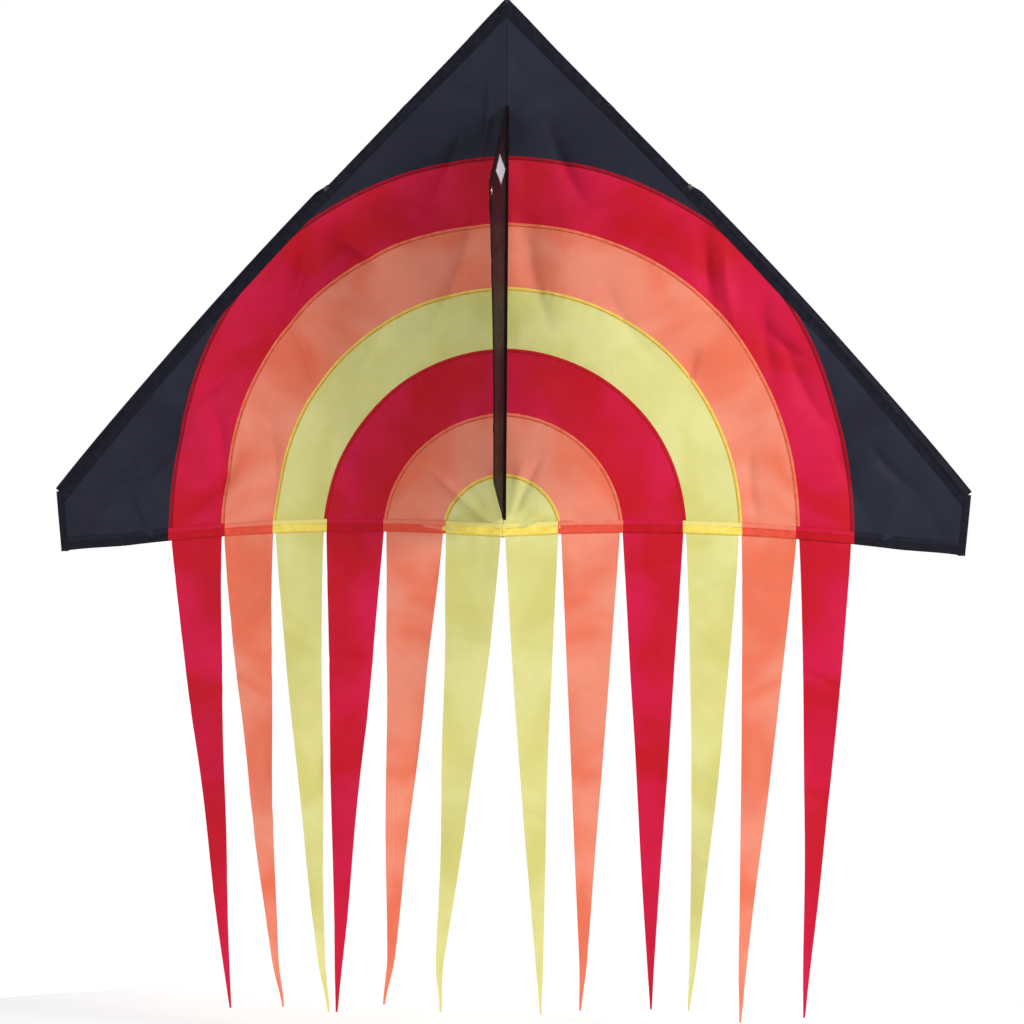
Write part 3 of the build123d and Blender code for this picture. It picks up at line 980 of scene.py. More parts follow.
# The finish of the lap along each ring, and of its thread
LAPS = [("gold_lap", "brown_thread"), ("ember_lap", "red_thread"), ("rust_lap", "red_thread")]
LAPS += [("gold_lap", "brown_thread"), ("ember_lap", "red_thread"), ("dark_lap", "black_thread")]


# The zigzag stitching of the laps, and how far its thread stands out from the cloth
ZIGZAG_PITCH = 2.7 * MM
ZIGZAG_SWING = 1.9 * MM
ZIGZAG_SHIFT = -1.4 * MM
LAP_THREAD = 0.55 * MM


def ring_line(ring, shift, count):
    """(u, z) points along a ring moved outwards, from above the hem to the centre."""
    moved = (ring[0] + shift, ring[1] + shift, ring[2])
    turn = np.linspace(ring_end(moved), np.pi / 2, count)
    return ring_point(moved, turn)


def seam_lap(side, index):
    """The overlap of two bands: a narrow double layer that shows on both faces."""
    ring = RINGS[index]
    half = sizes().seam / 2
    count = int(QUARTER_TURN * ring[1] / 0.003)
    shifts = np.array([-1.0, -0.5, 0.0, 0.5, 1.0]) * half
    curves = [ring_line(ring, shift, count) for shift in shifts]
    u = np.stack([curve[0] for curve in curves])
    z = np.stack([curve[1] for curve in curves])
    u[:, -1] = 0.0
    lift = 0.00040 - 0.00008 * np.abs(shifts / half)[:, None]
    back = sail_back(side, u, z)
    skins = [place(side, u, z, face * lift, back) for face in (1, -1)]
    lap = cloth_sheet(f"lap_{index + 1}_{side}", skins, LAPS[index][0])
    keep_flat_place(lap, u, z)
    hold_to_wing(lap, side)


def seam_zigzag(side, index):
    """Zigzag stitching along a lap, on both faces."""
    ring = RINGS[index]
    u, z = ring_line(ring, ZIGZAG_SHIFT, int(ring[1] / 0.004))
    u[-1] = 0.0
    line = zigzag(np.stack([u, z], axis=1), ZIGZAG_PITCH, ZIGZAG_SWING)
    line = line[line[:, 1] > trailing_z(line[:, 0]) + sizes().hem]
    line = line[line[:, 0] > 0.0002]
    runs = [sail_stitches(side, line[:-1], line[1:], lift) for lift in (LAP_THREAD, -LAP_THREAD)]
    stitches = thread_piece(f"zigzag_{index + 1}_{side}", runs, [LAPS[index][1]])
    hold_to_wing(stitches, side)


class KITE_OT_seams(bpy.types.Operator):
    """Laps the bands over each other and sews them with zigzag stitching"""

    bl_idname = "kite.seams"
    bl_label = "Seams"

    def execute(self, context):
        for side in SIDES:
            for index in range(len(RINGS)):
                seam_lap(side, index)
                seam_zigzag(side, index)
        return {"FINISHED"}


# ---------------------------------------------------------------- folded edges


def fold_section(q, centre, radius, width, rim):
    """Inset and lift round a folded edge, for q from the front seam at -1 to the back seam at 1."""
    bend = 0.42
    turn = np.clip(q / bend, -1, 1) * math.radians(100)
    inset = centre - radius * np.cos(turn)
    lift = -radius * np.sin(turn)
    leg = np.clip((np.abs(q) - bend) / (1 - bend), 0, 1)
    inset = inset + (width - inset) * leg
    lift = lift + (-np.sign(q) * rim - lift) * leg
    return inset, lift


def cut_solid(front, back, keep):
    """A closed sheet between two grids with some of its cells left out."""
    rows, columns = front.shape[:2]
    count = rows * columns
    index = np.arange(count).reshape(rows, columns)
    a, b = index[:-1, :-1], index[:-1, 1:]
    c, d = index[1:, 1:], index[1:, :-1]
    padded = np.pad(keep, 1)
    cells = [np.stack([a, b, c, d], -1)[keep], np.stack([d, c, b, a], -1)[keep] + count]
    sides = [(a, b, padded[:-2, 1:-1]), (b, c, padded[1:-1, 2:])]
    sides += [(c, d, padded[2:, 1:-1]), (d, a, padded[1:-1, :-2])]
    for start, end, beyond in sides:
        open_side = keep & ~beyond
        p, q = start[open_side], end[open_side]
        cells.append(np.stack([q, p, p + count, q + count], -1))
    points = np.concatenate([front.reshape(-1, 3), back.reshape(-1, 3)])
    return drop_loose(points, outward(points, np.concatenate(cells)))


def drop_loose(points, faces):
    """Leaves out the points that no face uses."""
    used = np.unique(faces)
    lookup = np.full(len(points), -1)
    lookup[used] = np.arange(len(used))
    return points[used], lookup[faces]


# Where round the trailing hem its points are, the height of its two lines of stitches, and how far
# the thread of a folded edge stands out from the cloth
HEM_ROUND = np.linspace(-1, 1, 19)[:, None]
HEM_SEAMS = (12.4 * MM, 1.2 * MM)
HEM_THREAD = 1.10 * MM
TIP_THREAD = 1.3 * MM

# Each second colour of the hem laps over its neighbours, which stop just short of them
HEM_LAP = 2.8 * MM
HEM_STOP = -0.2 * MM
HEM_LAP_LIFT = 0.12 * MM

# The folded hem of the short edge at each tip
TIP_HEM_WIDTH = 11.5 * MM
TIP_HEM_TOP = -765.5 * MM
TIP_SEAM = 9.5 * MM


def hem_section(grow):
    """Inset and lift round the trailing hem, grown by grow."""
    return fold_section(HEM_ROUND, 0.0011, 0.0007 + grow, sizes().hem, 0.00058 + grow)


def hem_skin(side, u, grow, shift):
    """One skin of the trailing hem over some columns of u, grown by grow."""
    inset, lift = hem_section(grow)
    u = np.broadcast_to(u, (len(HEM_ROUND), u.shape[-1]))
    edge = trailing_z(u)
    back = sail_back(side, u, edge + 0.6 * inset)
    return place(side, u, edge + inset, lift + np.sign(lift) * shift, back)


def trailing_hem(side, name, start, end, colour, shift):
    """One colour's length of the folded hem."""
    u = np.linspace(start, end, max(12, int((end - start) / 0.0035)))
    half = sizes().cloth / 2
    skins = [hem_skin(side, u, grow, shift) for grow in (half, -half)]
    piece = cloth_sheet(name, skins, f"{colour}_doubled")
    heights = np.broadcast_to(hem_section(0.0)[0], (len(HEM_ROUND), len(u)))
    across = np.broadcast_to(u, heights.shape)
    keep_flat_place(piece, across, trailing_z(across) + heights, heights)
    hold_to_wing(piece, side)
    end - start
    return piece


def hem_stitching(side, ends):
    """Two lines of lock stitch along the trailing hem, on both faces."""
    runs = []
    colour_at = [colour_of(band) for band in BANDS] + ["black"]
    threads = ["hem_red_thread", "hem_orange_thread", "hem_yellow_thread", "black_thread"]
    number = {"red": 0, "orange": 1, "yellow": 2, "black": 3}
    for height in HEM_SEAMS:
        u = np.linspace(0.004, 0.706, 240)
        starts, tops = lock_stitch(np.stack([u, trailing_z(u) + height], axis=1), sizes().stitch)
        middle = starts[:, 0]
        for start, end, colour in zip(ends[:-1], ends[1:], colour_at):
            chosen = (middle >= start) & (middle < end)
            for lift in (HEM_THREAD, -HEM_THREAD):
                runs.append(sail_stitches(side, starts[chosen], tops[chosen], lift, number[colour]))
    stitches = thread_piece(f"hem_stitching_{side}", runs, threads)
    hold_to_wing(stitches, side)


def tip_edge_u(z):
    """The short edge at the wing tip."""
    top_u, top_z = leading_point(LEADING_LENGTH, 0.0)
    foot_z = float(trailing_z(TIP_LOWER_U))
    return TIP_LOWER_U + (top_u - TIP_LOWER_U) * (z - foot_z) / (top_z - foot_z)


def tip_hem(side):
    """The folded hem of the short edge."""
    z = np.linspace(float(trailing_z(TIP_LOWER_U)) + 0.0004, TIP_HEM_TOP, 32)[None, :]
    half = sizes().cloth / 2
    skins = []
    for grow in (half, -half):
        inset, lift = fold_section(HEM_ROUND, 0.0011, 0.0009 + grow, TIP_HEM_WIDTH, 0.0009 + grow)
        u = tip_edge_u(z) - inset
        heights = np.broadcast_to(z, u.shape)
        skins.append(place(side, u, heights, lift, sail_back(side, u, heights)))
    piece = cloth_sheet(f"tip_hem_{side}_cloth", skins, "black_doubled")
    keep_flat_place(piece)
    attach(piece, f"wing_{side}")
    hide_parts(f"tip_hem_{side}")
    heights = np.linspace(-0.768, -0.850, 40)
    line = np.stack([tip_edge_u(heights) - TIP_SEAM, heights], axis=1)
    starts, ends = lock_stitch(line, sizes().stitch)
    runs = [sail_stitches(side, starts, ends, lift) for lift in (TIP_THREAD, -TIP_THREAD)]
    stitches = thread_piece(f"tip_stitching_{side}", runs, ["black_thread"])
    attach(stitches, f"wing_{side}")


class KITE_OT_hems(bpy.types.Operator):
    """Folds and sews the trailing hem and the short hem at each tip"""

    bl_idname = "kite.hems"
    bl_label = "Hems"

    def execute(self, context):
        for side in SIDES:
            ends = [0.0] + [float(ring_point(ring, ring_end(ring))[0]) for ring in RINGS] + [TIP_LOWER_U]
            for index, band in enumerate(BANDS + ["black"]):
                lap = HEM_LAP if index % 2 else HEM_STOP
                start = max(0.0, ends[index] - lap)
                end = ends[index + 1] + (lap if index < len(BANDS) else 0)
                shift = HEM_LAP_LIFT if index % 2 else 0.0
                piece = trailing_hem(side, f"hem_{band}_{side}", start, end, colour_of(band), shift)
            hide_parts(f"trailing_hem_{side}")
            hem_stitching(side, ends)
            tip_hem(side)
        return {"FINISHED"}


# ---------------------------------------------------------------- leading edge sleeves

# How far the rod, its caps and the fitting push the sleeve out, and how wide each ridge is
ROD_RIDGE = (1.85 * MM, 2.7 * MM)
CAP_RIDGE = (1.0 * MM, 3.3 * MM)
FITTING_RIDGE = (2.2 * MM, 5.0 * MM)
SLEEVE_THREAD = 1.25 * MM
SLEEVE_SEAM = 2.2 * MM  # how far its seam lies from its inner edge
SLEEVE_LAP = 3.5 * MM  # how far its lower length goes up under the upper one
SLEEVE_NOSE = 2.2 * MM  # where it starts below the nose
WINDOW_END = FITTING_AT + 15.5 * MM
WINDOW_ROUND = (0.30, 0.90)  # where round the sleeve its window is, from the outer fold to the back seam


def sleeve_width(along):
    """Width of the sleeve: wider near the nose, and no wider than the half sail is there."""
    width = sizes().sleeve + 0.0035 * (1 - smooth(along, 0.05, 0.30))
    return np.minimum(width, along)


def rounded_ridge(across, height, width):
    """The height of a rounded ridge at a distance across it."""
    return height * np.exp(-((across / width) ** 2))


def rod_ridge(along, inset, part):
    """How far the rod, its caps and the fitting push each layer of the sleeve out."""
    across = inset - ROD_INSET - edge_ease(along)
    tube = smooth(along, SLEEVE_START - 0.002, SLEEVE_START + 0.008)
    tube *= 1 - smooth(along, LEADING_LENGTH - 0.008, LEADING_LENGTH - 0.002)
    ridge = tube * rounded_ridge(across, *ROD_RIDGE)
    caps = smooth(along, SLEEVE_START - 0.003, SLEEVE_START + 0.002)
    caps = caps * (1 - smooth(along, SLEEVE_START + 0.013, SLEEVE_START + 0.020))
    caps = caps + smooth(along, LEADING_LENGTH - 0.028, LEADING_LENGTH - 0.021) * tube
    ridge = ridge + caps * rounded_ridge(across, *CAP_RIDGE)
    if part == "lower":
        grip = 1 - smooth(along, FITTING_AT + 0.011, FITTING_AT + 0.020)
        ridge = ridge + grip * rounded_ridge(across, *FITTING_RIDGE)
    return ridge


def sleeve_skin(side, along, q, grow, part):
    """One skin of a sleeve, with the ridge of its rod and the bulge over the fitting."""
    width = sleeve_width(along) + edge_ease(along)
    full = smooth(along, SLEEVE_START, SLEEVE_START + 0.012)
    tight = full * (1 - smooth(along, FITTING_AT - 0.018, FITTING_AT + 0.006))
    radius = np.minimum(0.00075 + 0.0016 * tight, 0.3 * width) + grow
    centre = np.minimum(0.0009 + 0.0017 * tight, 0.35 * width)
    inset, lift = fold_section(q, centre, radius, width, 0.00055 + grow)
    facing = np.tanh(lift / 0.0003)
    ripple = np.sin(along / 0.0037 + 2.2 * np.sin(along / 0.027) + 3 * q) * 0.00022
    sag = np.sin(along / 0.017 + 1.3 * np.sin(along / 0.083 + SIDES[side])) * 0.00055
    leg = np.clip((np.abs(q) - 0.42) / 0.58, 0, 1)
    lift = lift + facing * (np.abs(ripple + sag) * np.sin(np.pi * leg) * 1.8)
    lift = lift + facing * rod_ridge(along, inset, part) * (1 - 0.7 * tight)
    if part == "upper":
        slant = smooth(along, SLEEVE_SPLIT - 0.06, SLEEVE_SPLIT)
    else:
        slant = np.clip((along - LEADING_LENGTH + 0.07) / 0.07, 0, 1) * 1.02
        slant = slant + 1 - smooth(along, SLEEVE_SPLIT - 0.005, SLEEVE_SPLIT + 0.055)
    place_in = inset - edge_ease(along)
    u, z = leading_point(along + slant * np.maximum(place_in, 0), place_in)
    u = np.maximum(u, 0.0)
    outer = np.minimum(np.maximum(place_in, 0), width)
    back = sail_back(side, *leading_point(along + slant * outer, outer)) * smooth(place_in, 0.004, 0.014)
    return on_wing(side, u, z, lift, back)


def sleeve_part(side, part, start, end):
    """One length of the sleeve. The lower one has a window behind the fitting."""
    rows = int((end - start) / 0.0036)
    along = np.linspace(start, end, rows)[:, None]
    q = np.linspace(-1, 1, 45)[None, :]
    half = sizes().cloth / 2
    skins = [sleeve_skin(side, along, q, grow, part) for grow in (half, -half)]
    keep = np.ones((rows - 1, q.shape[1] - 1), bool)
    if part == "lower":
        middle = (along[:-1, 0] + along[1:, 0]) / 2
        across = (q[0, :-1] + q[0, 1:]) / 2
        behind = (across > WINDOW_ROUND[0]) & (across < WINDOW_ROUND[1])
        keep &= ~((middle < WINDOW_END)[:, None] & behind[None, :])
    piece = cloth_sheet(f"sleeve_{part}_{side}", skins, "black_doubled", keep)
    keep_flat_place(piece)
    hold_to_wing(piece, side)
    return piece


def sleeve_stitching(side):
    """The seam of the sleeve on both faces, and the bar tack above its rod."""
    runs = []
    along = np.linspace(0.034, LEADING_LENGTH - 0.004, 320)
    u, z = leading_point(along, sleeve_width(along) - SLEEVE_SEAM)
    for lift in (SLEEVE_THREAD, -SLEEVE_THREAD):
        keep = (u > 0.002) & (np.abs(along - FITTING_AT - 0.004) > (0.0 if lift > 0 else 0.016))
        line = np.stack([u, z], axis=1)[keep]
        starts, ends = lock_stitch(line, sizes().stitch)
        runs.append(sail_stitches(side, starts, ends, lift))
    for shift in (-0.0012, 0.0, 0.0012):
        inset = np.linspace(0.0012, 0.0125, 9)
        u, z = leading_point(SLEEVE_START + shift - 0.006, inset)
        line = zigzag(np.stack([u, z], axis=1), 0.0012, 0.0022)
        runs.append(sail_stitches(side, line[:-1], line[1:], SLEEVE_THREAD))
    stitches = thread_piece(f"sleeve_stitching_{side}", runs, ["black_thread"])
    hold_to_wing(stitches, side)


class KITE_OT_sleeves(bpy.types.Operator):
    """Folds the rod sleeves along the leading edges"""

    bl_idname = "kite.sleeves"
    bl_label = "Leading edge sleeves"

    def execute(self, context):
        for side in SIDES:
            sleeve_part(side, "upper", SLEEVE_NOSE, SLEEVE_SPLIT)
            lower = sleeve_part(side, "lower", SLEEVE_SPLIT - SLEEVE_LAP, LEADING_LENGTH)
            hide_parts(f"leading_sleeve_{side}")
            sleeve_stitching(side)
        return {"FINISHED"}


# ---------------------------------------------------------------- spine


# The pocket: its top and foot, the radius and place of its tube, and the half width of its flanges
POCKET_TOP = -7.5 * MM
POCKET_FOOT = -829.5 * MM
POCKET_RADIUS = 3.25 * MM
POCKET_BACK = 2.6 * MM
POCKET_FLANGE = 5.6 * MM
TUBE_SHARE = 0.62  # the share of its width that goes round the rod


def pocket_skin(grow):
    """One skin of the pocket that holds the spine against the back of the sail."""
    z = np.linspace(POCKET_TOP, POCKET_FOOT, 230)[:, None]
    q = np.linspace(-1, 1, 33)[None, :]
    turn = np.clip(np.abs(q) / TUBE_SHARE, 0, 1) * math.radians(112) * np.sign(q)
    pucker = 0.00012 * np.sin(z / 0.0045 + 2 * np.sin(z / 0.05) + 2 * q)
    radius = POCKET_RADIUS + grow + pucker
    x = radius * np.sin(turn)
    y = POCKET_BACK + radius * np.cos(turn)
    flange = np.clip((np.abs(q) - TUBE_SHARE) / (1 - TUBE_SHARE), 0, 1)
    x = x + (np.sign(q) * POCKET_FLANGE - x) * flange
    y = y + (0.00085 + grow - y) * flange**0.6
    return np.stack([x, y, np.broadcast_to(z, x.shape)], axis=-1)


class KITE_OT_spine(bpy.types.Operator):
    """Sews the spine pocket, the nose patch and the flap"""

    bl_idname = "kite.spine"
    bl_label = "Spine pocket and nose"

    def execute(self, context):
        half = sizes().cloth / 2
        skins = [pocket_skin(grow) for grow in (half, -half)]
        pocket = cloth_sheet("spine_pocket_cloth", skins, "black_doubled")
        keep_flat_place(pocket)
        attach(pocket, "spine")
        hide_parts("spine_pocket")
        self.stitching()
        self.nose()
        return {"FINISHED"}

    def stitching(self):
        """The two seams of the pocket behind, and the one line that they leave in front."""
        runs = []
        z = np.linspace(-0.012, -0.826, 275)
        for x, y in ((0.0050, 0.00115), (-0.0050, 0.00115), (0.0006, -0.00125)):
            tops = z[:-1] - 0.0003
            starts = np.stack([np.full_like(tops, x), np.full_like(tops, y), tops], axis=1)
            ends = starts + [0, 0, -0.0024]
            runs.append((starts, ends, 0))
        stitches = thread_piece("spine_stitching", runs, ["black_thread"])
        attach(stitches, "spine")

    def nose(self):
        """A tape folded over the nose, and another closing the foot of the pocket."""
        path = [(-0.00175, -0.0100), (-0.00180, -0.0045), (-0.0014, -0.0014), (0.0004, -0.0002),
                (0.0036, -0.0001), (0.0058, -0.0012), (0.0066, -0.0045), (0.0069, -0.0125)]
        nose = tape("nose_tape", path, 0.0042, taper=0.45)
        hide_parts("nose_patch")
        path = [(0.0069, -0.8180), (0.0066, -0.8270), (0.0054, -0.8308), (0.0026, -0.8318),
                (0.0008, -0.8310), (0.00135, -0.8200)]
        flap = tape("foot_tape", path, 0.0040, taper=1.0)
        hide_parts("pocket_flap")


def tape(name, path, half_width, taper):
    """Webbing that follows a path in the centre plane, narrowed at its first end."""
    line, marks = resampled(np.array(path), 60)
    for _ in range(6):
        line[1:-1] = (line[:-2] + 2 * line[1:-1] + line[2:]) / 4
    normal = line_normals(line)
    q = np.linspace(-1, 1, 13)
    width = half_width * (taper + (1 - taper) * smooth(marks, 0, 0.012))
    skins = []
    for face in (1, -1):
        edge = np.sqrt(1 - 0.85 * np.abs(q) ** 6)
        shift = normal[:, None, :] * (face * sizes().cloth * edge)[None, :, None]
        flat = line[:, None, :] + shift
        x = width[:, None] * q[None, :]
        skins.append(np.stack([x, flat[..., 0], flat[..., 1]], axis=-1))
    piece = cloth_sheet(name, skins, "webbing")
    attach(piece, "spine")
    return piece


# ---------------------------------------------------------------- keel

KEEL_TOP = (-1.4, -168.0)
KEEL_TOW = (-180.0, -306.0)
KEEL_LOW = (-118.0, -752.0)
KEEL_FOOT = (-1.4, -803.0)
KEEL_CORNER = 7.0 * MM
KEEL_HEM = 11.5 * MM
KEEL_SEAM = 9.4 * MM
KEEL_THREAD = 1.0 * MM
KEEL_LEAN = -0.032  # how far to one side it leans, for each unit that it stands out
GROMMET_AT = (-160.0 * MM, -316.0 * MM)


def keel_edge():
    """The free edge of the keel as (y, z) points, with rounded corners."""
    top, tow, low, foot = [np.array(point) * MM for point in (KEEL_TOP, KEEL_TOW, KEEL_LOW, KEEL_FOOT)]
    share = np.linspace(0, 1, 9)[:, None]
    pieces = [top[None]]
    for before, corner, after in ((top, tow, low), (tow, low, foot)):
        start = corner + (before - corner) * KEEL_CORNER / np.linalg.norm(before - corner)
        end = corner + (after - corner) * KEEL_CORNER / np.linalg.norm(after - corner)
        pieces.append(start * (1 - share) ** 2 + 2 * corner * share * (1 - share) + end * share**2)
    pieces.append(foot[None])
    return np.concatenate(pieces)


def keel_sway(y, z):
    """How far the keel's cloth stands to one side."""
    out = -y
    free = smooth(out, 0.003, 0.050)
    sway = 0.0022 * np.sin(z * 9.0 + 0.6) * (out / 0.18)
    gy, gz = GROMMET_AT
    angle = np.arctan2(z - gz, y - gy)
    reach = np.hypot(y - gy, z - gz)
    pull = 0.0007 * np.sin(angle * 7.0 + 1.0) * np.exp(-(((reach - 0.045) / 0.045) ** 2))
    seam = 0.00035 * np.sin(z / 0.0041 + 2 * np.sin(z / 0.037)) * np.exp(-((out / 0.012) ** 2))
    sway = sway + KEEL_LEAN * out
    creases = 0.0008 * soft_fold(z + 0.47 + 0.3 * y, 0.006)
    creases = creases - 0.0007 * soft_fold(z + 0.62 - 0.4 * y, 0.008)
    return (sway + pull + creases) * free + seam * smooth(out, 0.0015, 0.004)


def keel_points(y, z, lift):
    """Points in the kite's frame for flat points of the keel."""
    return np.stack([keel_sway(y, z) + lift, y, z], axis=-1)


def hold_to_keel(piece):
    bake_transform(piece)


def keel_cloth():
    """The keel's single layer, with the narrow flange that is sewn to the sail."""
    edge = keel_edge()
    z = np.linspace(-0.1695, -0.8020, 200)[:, None]
    limit = np.interp(-z, -edge[:, 1], edge[:, 0])
    q = np.linspace(0, 1, 60)[None, :]
    y = -0.0013 + (limit + 0.0012 + 0.0013) * q
    z = np.broadcast_to(z, y.shape)
    half = sizes().cloth / 2
    piece = cloth_sheet("keel_cloth", [keel_points(y, z, lift) for lift in (half, -half)], "keel_cloth")
    keep_flat_place(piece)
    hold_to_keel(piece)
    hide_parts("keel_panel")


def keel_seam():
    """The flange where the keel is sewn into the centre seam."""
    z = np.linspace(-0.1670, -0.8050, 180)[:, None]
    q = np.linspace(0, 1, 7)[None, :]
    x = 0.0001 + 0.0046 * q
    wave = 0.00015 * np.sin(z / 0.004 + np.sin(z / 0.03)) * q
    x, z = np.broadcast_arrays(x, z)
    skins = [np.stack([x, -0.00155 - lift - wave, z], axis=-1) for lift in (0.0002, -0.0001)]
    piece = cloth_sheet("keel_flange", skins, "keel_doubled")
    keep_flat_place(piece)
    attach(piece, "spine")


def keel_hem():
    """The folded hem round the free edges."""
    line, marks = resampled(keel_edge(), 300)
    inward = line_normals(line)
    room = np.clip((-line[:, 0]) / 0.012, 0.02, 1)
    for _ in range(30):
        inward[1:-1] = (inward[:-2] + 2 * inward[1:-1] + inward[2:]) / 4
    half = sizes().cloth / 2
    skins = []
    for grow in (half, -half):
        inset, lift = fold_section(HEM_ROUND.T, 0.0010, 0.00065 + grow, KEEL_HEM, 0.0006 + grow)
        inset = inset * room[:, None]
        y = np.minimum(line[:, 0:1] + inward[:, 0:1] * inset, -0.0016)
        z = line[:, 1:2] + inward[:, 1:2] * inset
        skins.append(keel_points(y, z, lift))
    piece = cloth_sheet("keel_hem_cloth", skins, "keel_doubled")
    keep_flat_place(piece)
    hold_to_keel(piece)
    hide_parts("keel_hem")
    inner = line + inward * KEEL_SEAM * room[:, None]
    starts, ends = lock_stitch(inner[inner[:, 0] < -0.012], sizes().stitch)
    runs = [keel_stitches(starts, ends, lift) for lift in (KEEL_THREAD, -KEEL_THREAD)]
    stitches = thread_piece("keel_stitching", runs, ["black_thread"])
    hold_to_keel(stitches)


def keel_patch():
    """A plain diamond of pale cloth sewn on one face."""
    corners = np.array([(-68.0, -250.0), (-12.0, -267.0), (-54.0, -295.0), (-105.0, -280.0)]) * MM
    a, b, c, d = corners
    s, t = np.meshgrid(np.linspace(0, 1, 28), np.linspace(0, 1, 28))
    s, t = s[..., None], t[..., None]
    grid = a * (1 - s) * (1 - t) + b * s * (1 - t) + c * s * t + d * (1 - s) * t
    y, z = grid[..., 0], grid[..., 1]
    skins = [keel_points(y, z, lift) for lift in (0.0006, 0.0002)]
    piece = cloth_sheet("keel_patch_cloth", skins, "patch_cloth")
    keep_flat_place(piece)
    hold_to_keel(piece)
    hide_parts("keel_patch")
    centre = corners.mean(axis=0)
    inner = centre + (corners - centre) * 0.91
    loop = np.concatenate([inner, inner[:1]])
    starts, ends = lock_stitch(loop, 0.0026)
    stitches = thread_piece("patch_stitching", [keel_stitches(starts, ends, 0.00068)], ["black_thread"])
    hold_to_keel(stitches)


def lathe(name, profile, centre, finish):
    """A ring about the X axis through a (y, z) point, from a closed (radius, x) profile."""
    profile = np.array(profile)
    rows, columns = 48, len(profile)
    angles = np.arange(rows) * 2 * np.pi / rows
    radius, x = profile[:, 0][None, :], profile[:, 1][None, :]
    y = centre[0] + radius * np.cos(angles)[:, None]
    z = centre[1] + radius * np.sin(angles)[:, None]
    points = np.stack([x + 0 * y, y, z], axis=-1).reshape(-1, 3)
    i, j = np.meshgrid(np.arange(rows), np.arange(columns), indexing="ij")
    row, after_row = i * columns, (i + 1) % rows * columns
    after_j = (j + 1) % columns
    faces = np.stack([row + j, after_row + j, after_row + after_j, row + after_j], -1).reshape(-1, 4)
    return make_piece(name, points, outward(points, faces).tolist(), [finish])


def grommet():
    """Two rolled rings that grip the keel."""
    shift = float(keel_sway(np.array(GROMMET_AT[0]), np.array(GROMMET_AT[1])))
    for name, face, node in (("eyelet_front", 1, "grommet_front"), ("eyelet_back", -1, "grommet_back")):
        profile = []
        for degree in range(-20, 201, 20):
            angle = math.radians(degree)
            profile.append((0.0048 + 0.0017 * math.cos(angle), 0.0008 + 0.0008 * math.sin(angle)))
        profile += [(0.0031, 0.0004), (0.0031, -0.0002), (0.0037, -0.0002), (0.0044, 0.0006)]
        profile = [(radius, shift + face * x) for radius, x in profile]
        ring = lathe(name, profile, GROMMET_AT, "metal")
        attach(ring, "keel")
        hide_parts(node)


class KITE_OT_keel(bpy.types.Operator):
    """Sews the keel, its hem, its plain patch and its eyelet"""

    bl_idname = "kite.keel"
    bl_label = "Keel"

    def execute(self, context):
        keel_cloth()
        keel_seam()
        keel_hem()
        keel_patch()
        grommet()
        return {"FINISHED"}


# ---------------------------------------------------------------- tails


def tail_creases(generator, down, across, length):
    """Short slanting creases at seeded places down a tail."""
    top_fade = smooth(np.clip(down / length, 0, 1), 0.0, 0.04)
    total = np.zeros(across.shape)
    for _ in range(TAIL_CREASES):
        where, slope = generator.uniform(0.04, 0.95) * length, generator.uniform(-0.9, 0.9)
        height = generator.uniform(-1.5, 1.9) * MM
        distance = (down - where - slope * across) / math.hypot(1, slope)
        total += height * soft_fold(distance, generator.uniform(4, 12) * MM) * top_fade
    return total


def tail_grid(side, index):
    """The middle surface of a tail, and each point's place on the flat cloth."""
    generator = np.random.RandomState(100 + 10 * index + (3 if side == "left" else 7))
    inner = (RINGS[index - 1][0] if index else FIRST_TAIL_U) + TAIL_GAP
    outer = RINGS[index][0] - TAIL_GAP
    lean, extra, hook = [value * MM for value in TAIL_HANG[side][index]]
    length = TAIL_LENGTH + extra
    down = np.linspace(-TAIL_ROOT, length, 210)[:, None]
    q = np.linspace(-1, 1, 19)[None, :]
    share = np.clip(down / length, 0, 1)
    middle = (inner + outer) / 2
    half = ((outer - inner) * (1 - share) + TAIL_POINT * share) / 2
    bow = generator.uniform(-4, 4) * MM
    drift = lean * share**1.25 + bow * np.sin(np.pi * share)
    drift = drift + hook * smooth(share, 0.86, 1.0) ** 2
    twist = np.radians(generator.uniform(-26, 26)) * smooth(share, 0.25, 1.0)
    twist = twist + np.radians(9) * np.sin(down / 0.075 + generator.uniform(0, 6)) * smooth(share, 0.1, 0.5)
    u = middle + drift + half * q * np.cos(twist)
    top = middle + half * q
    edge = trailing_z(top)
    relief = half * q * np.sin(twist)
    relief = relief + 0.0035 * np.sin(down / 0.055 + generator.uniform(0, 6)) * smooth(share, 0.05, 0.4)
    cup = 0.055 * np.sin(down / 0.048 + generator.uniform(0, 6)) * smooth(share, 0.0, 0.12)
    relief = relief + cup * half * (q**2 - 0.4)
    relief = relief + tail_creases(generator, down, half * q, length)
    settle = np.exp(-np.clip(down, 0, 1) / 0.07)
    back_top = sail_back(side, top, edge)
    calm = back_top.mean(axis=1, keepdims=True) * 0.9
    back = calm + (back_top - calm) * settle + relief
    tuck = 0.00135 * (1 - smooth(down, 0.0005, 0.004))
    points = place(side, u, edge - down, -tuck, back)
    return points, half * q, down + 0 * q, length, outer - inner


def surface_normals(grid):
    """Unit vectors square to a grid of points."""
    normal = np.cross(np.gradient(grid, axis=0), np.gradient(grid, axis=1))
    return normal / np.maximum(np.linalg.norm(normal, axis=-1, keepdims=True), 1e-12)


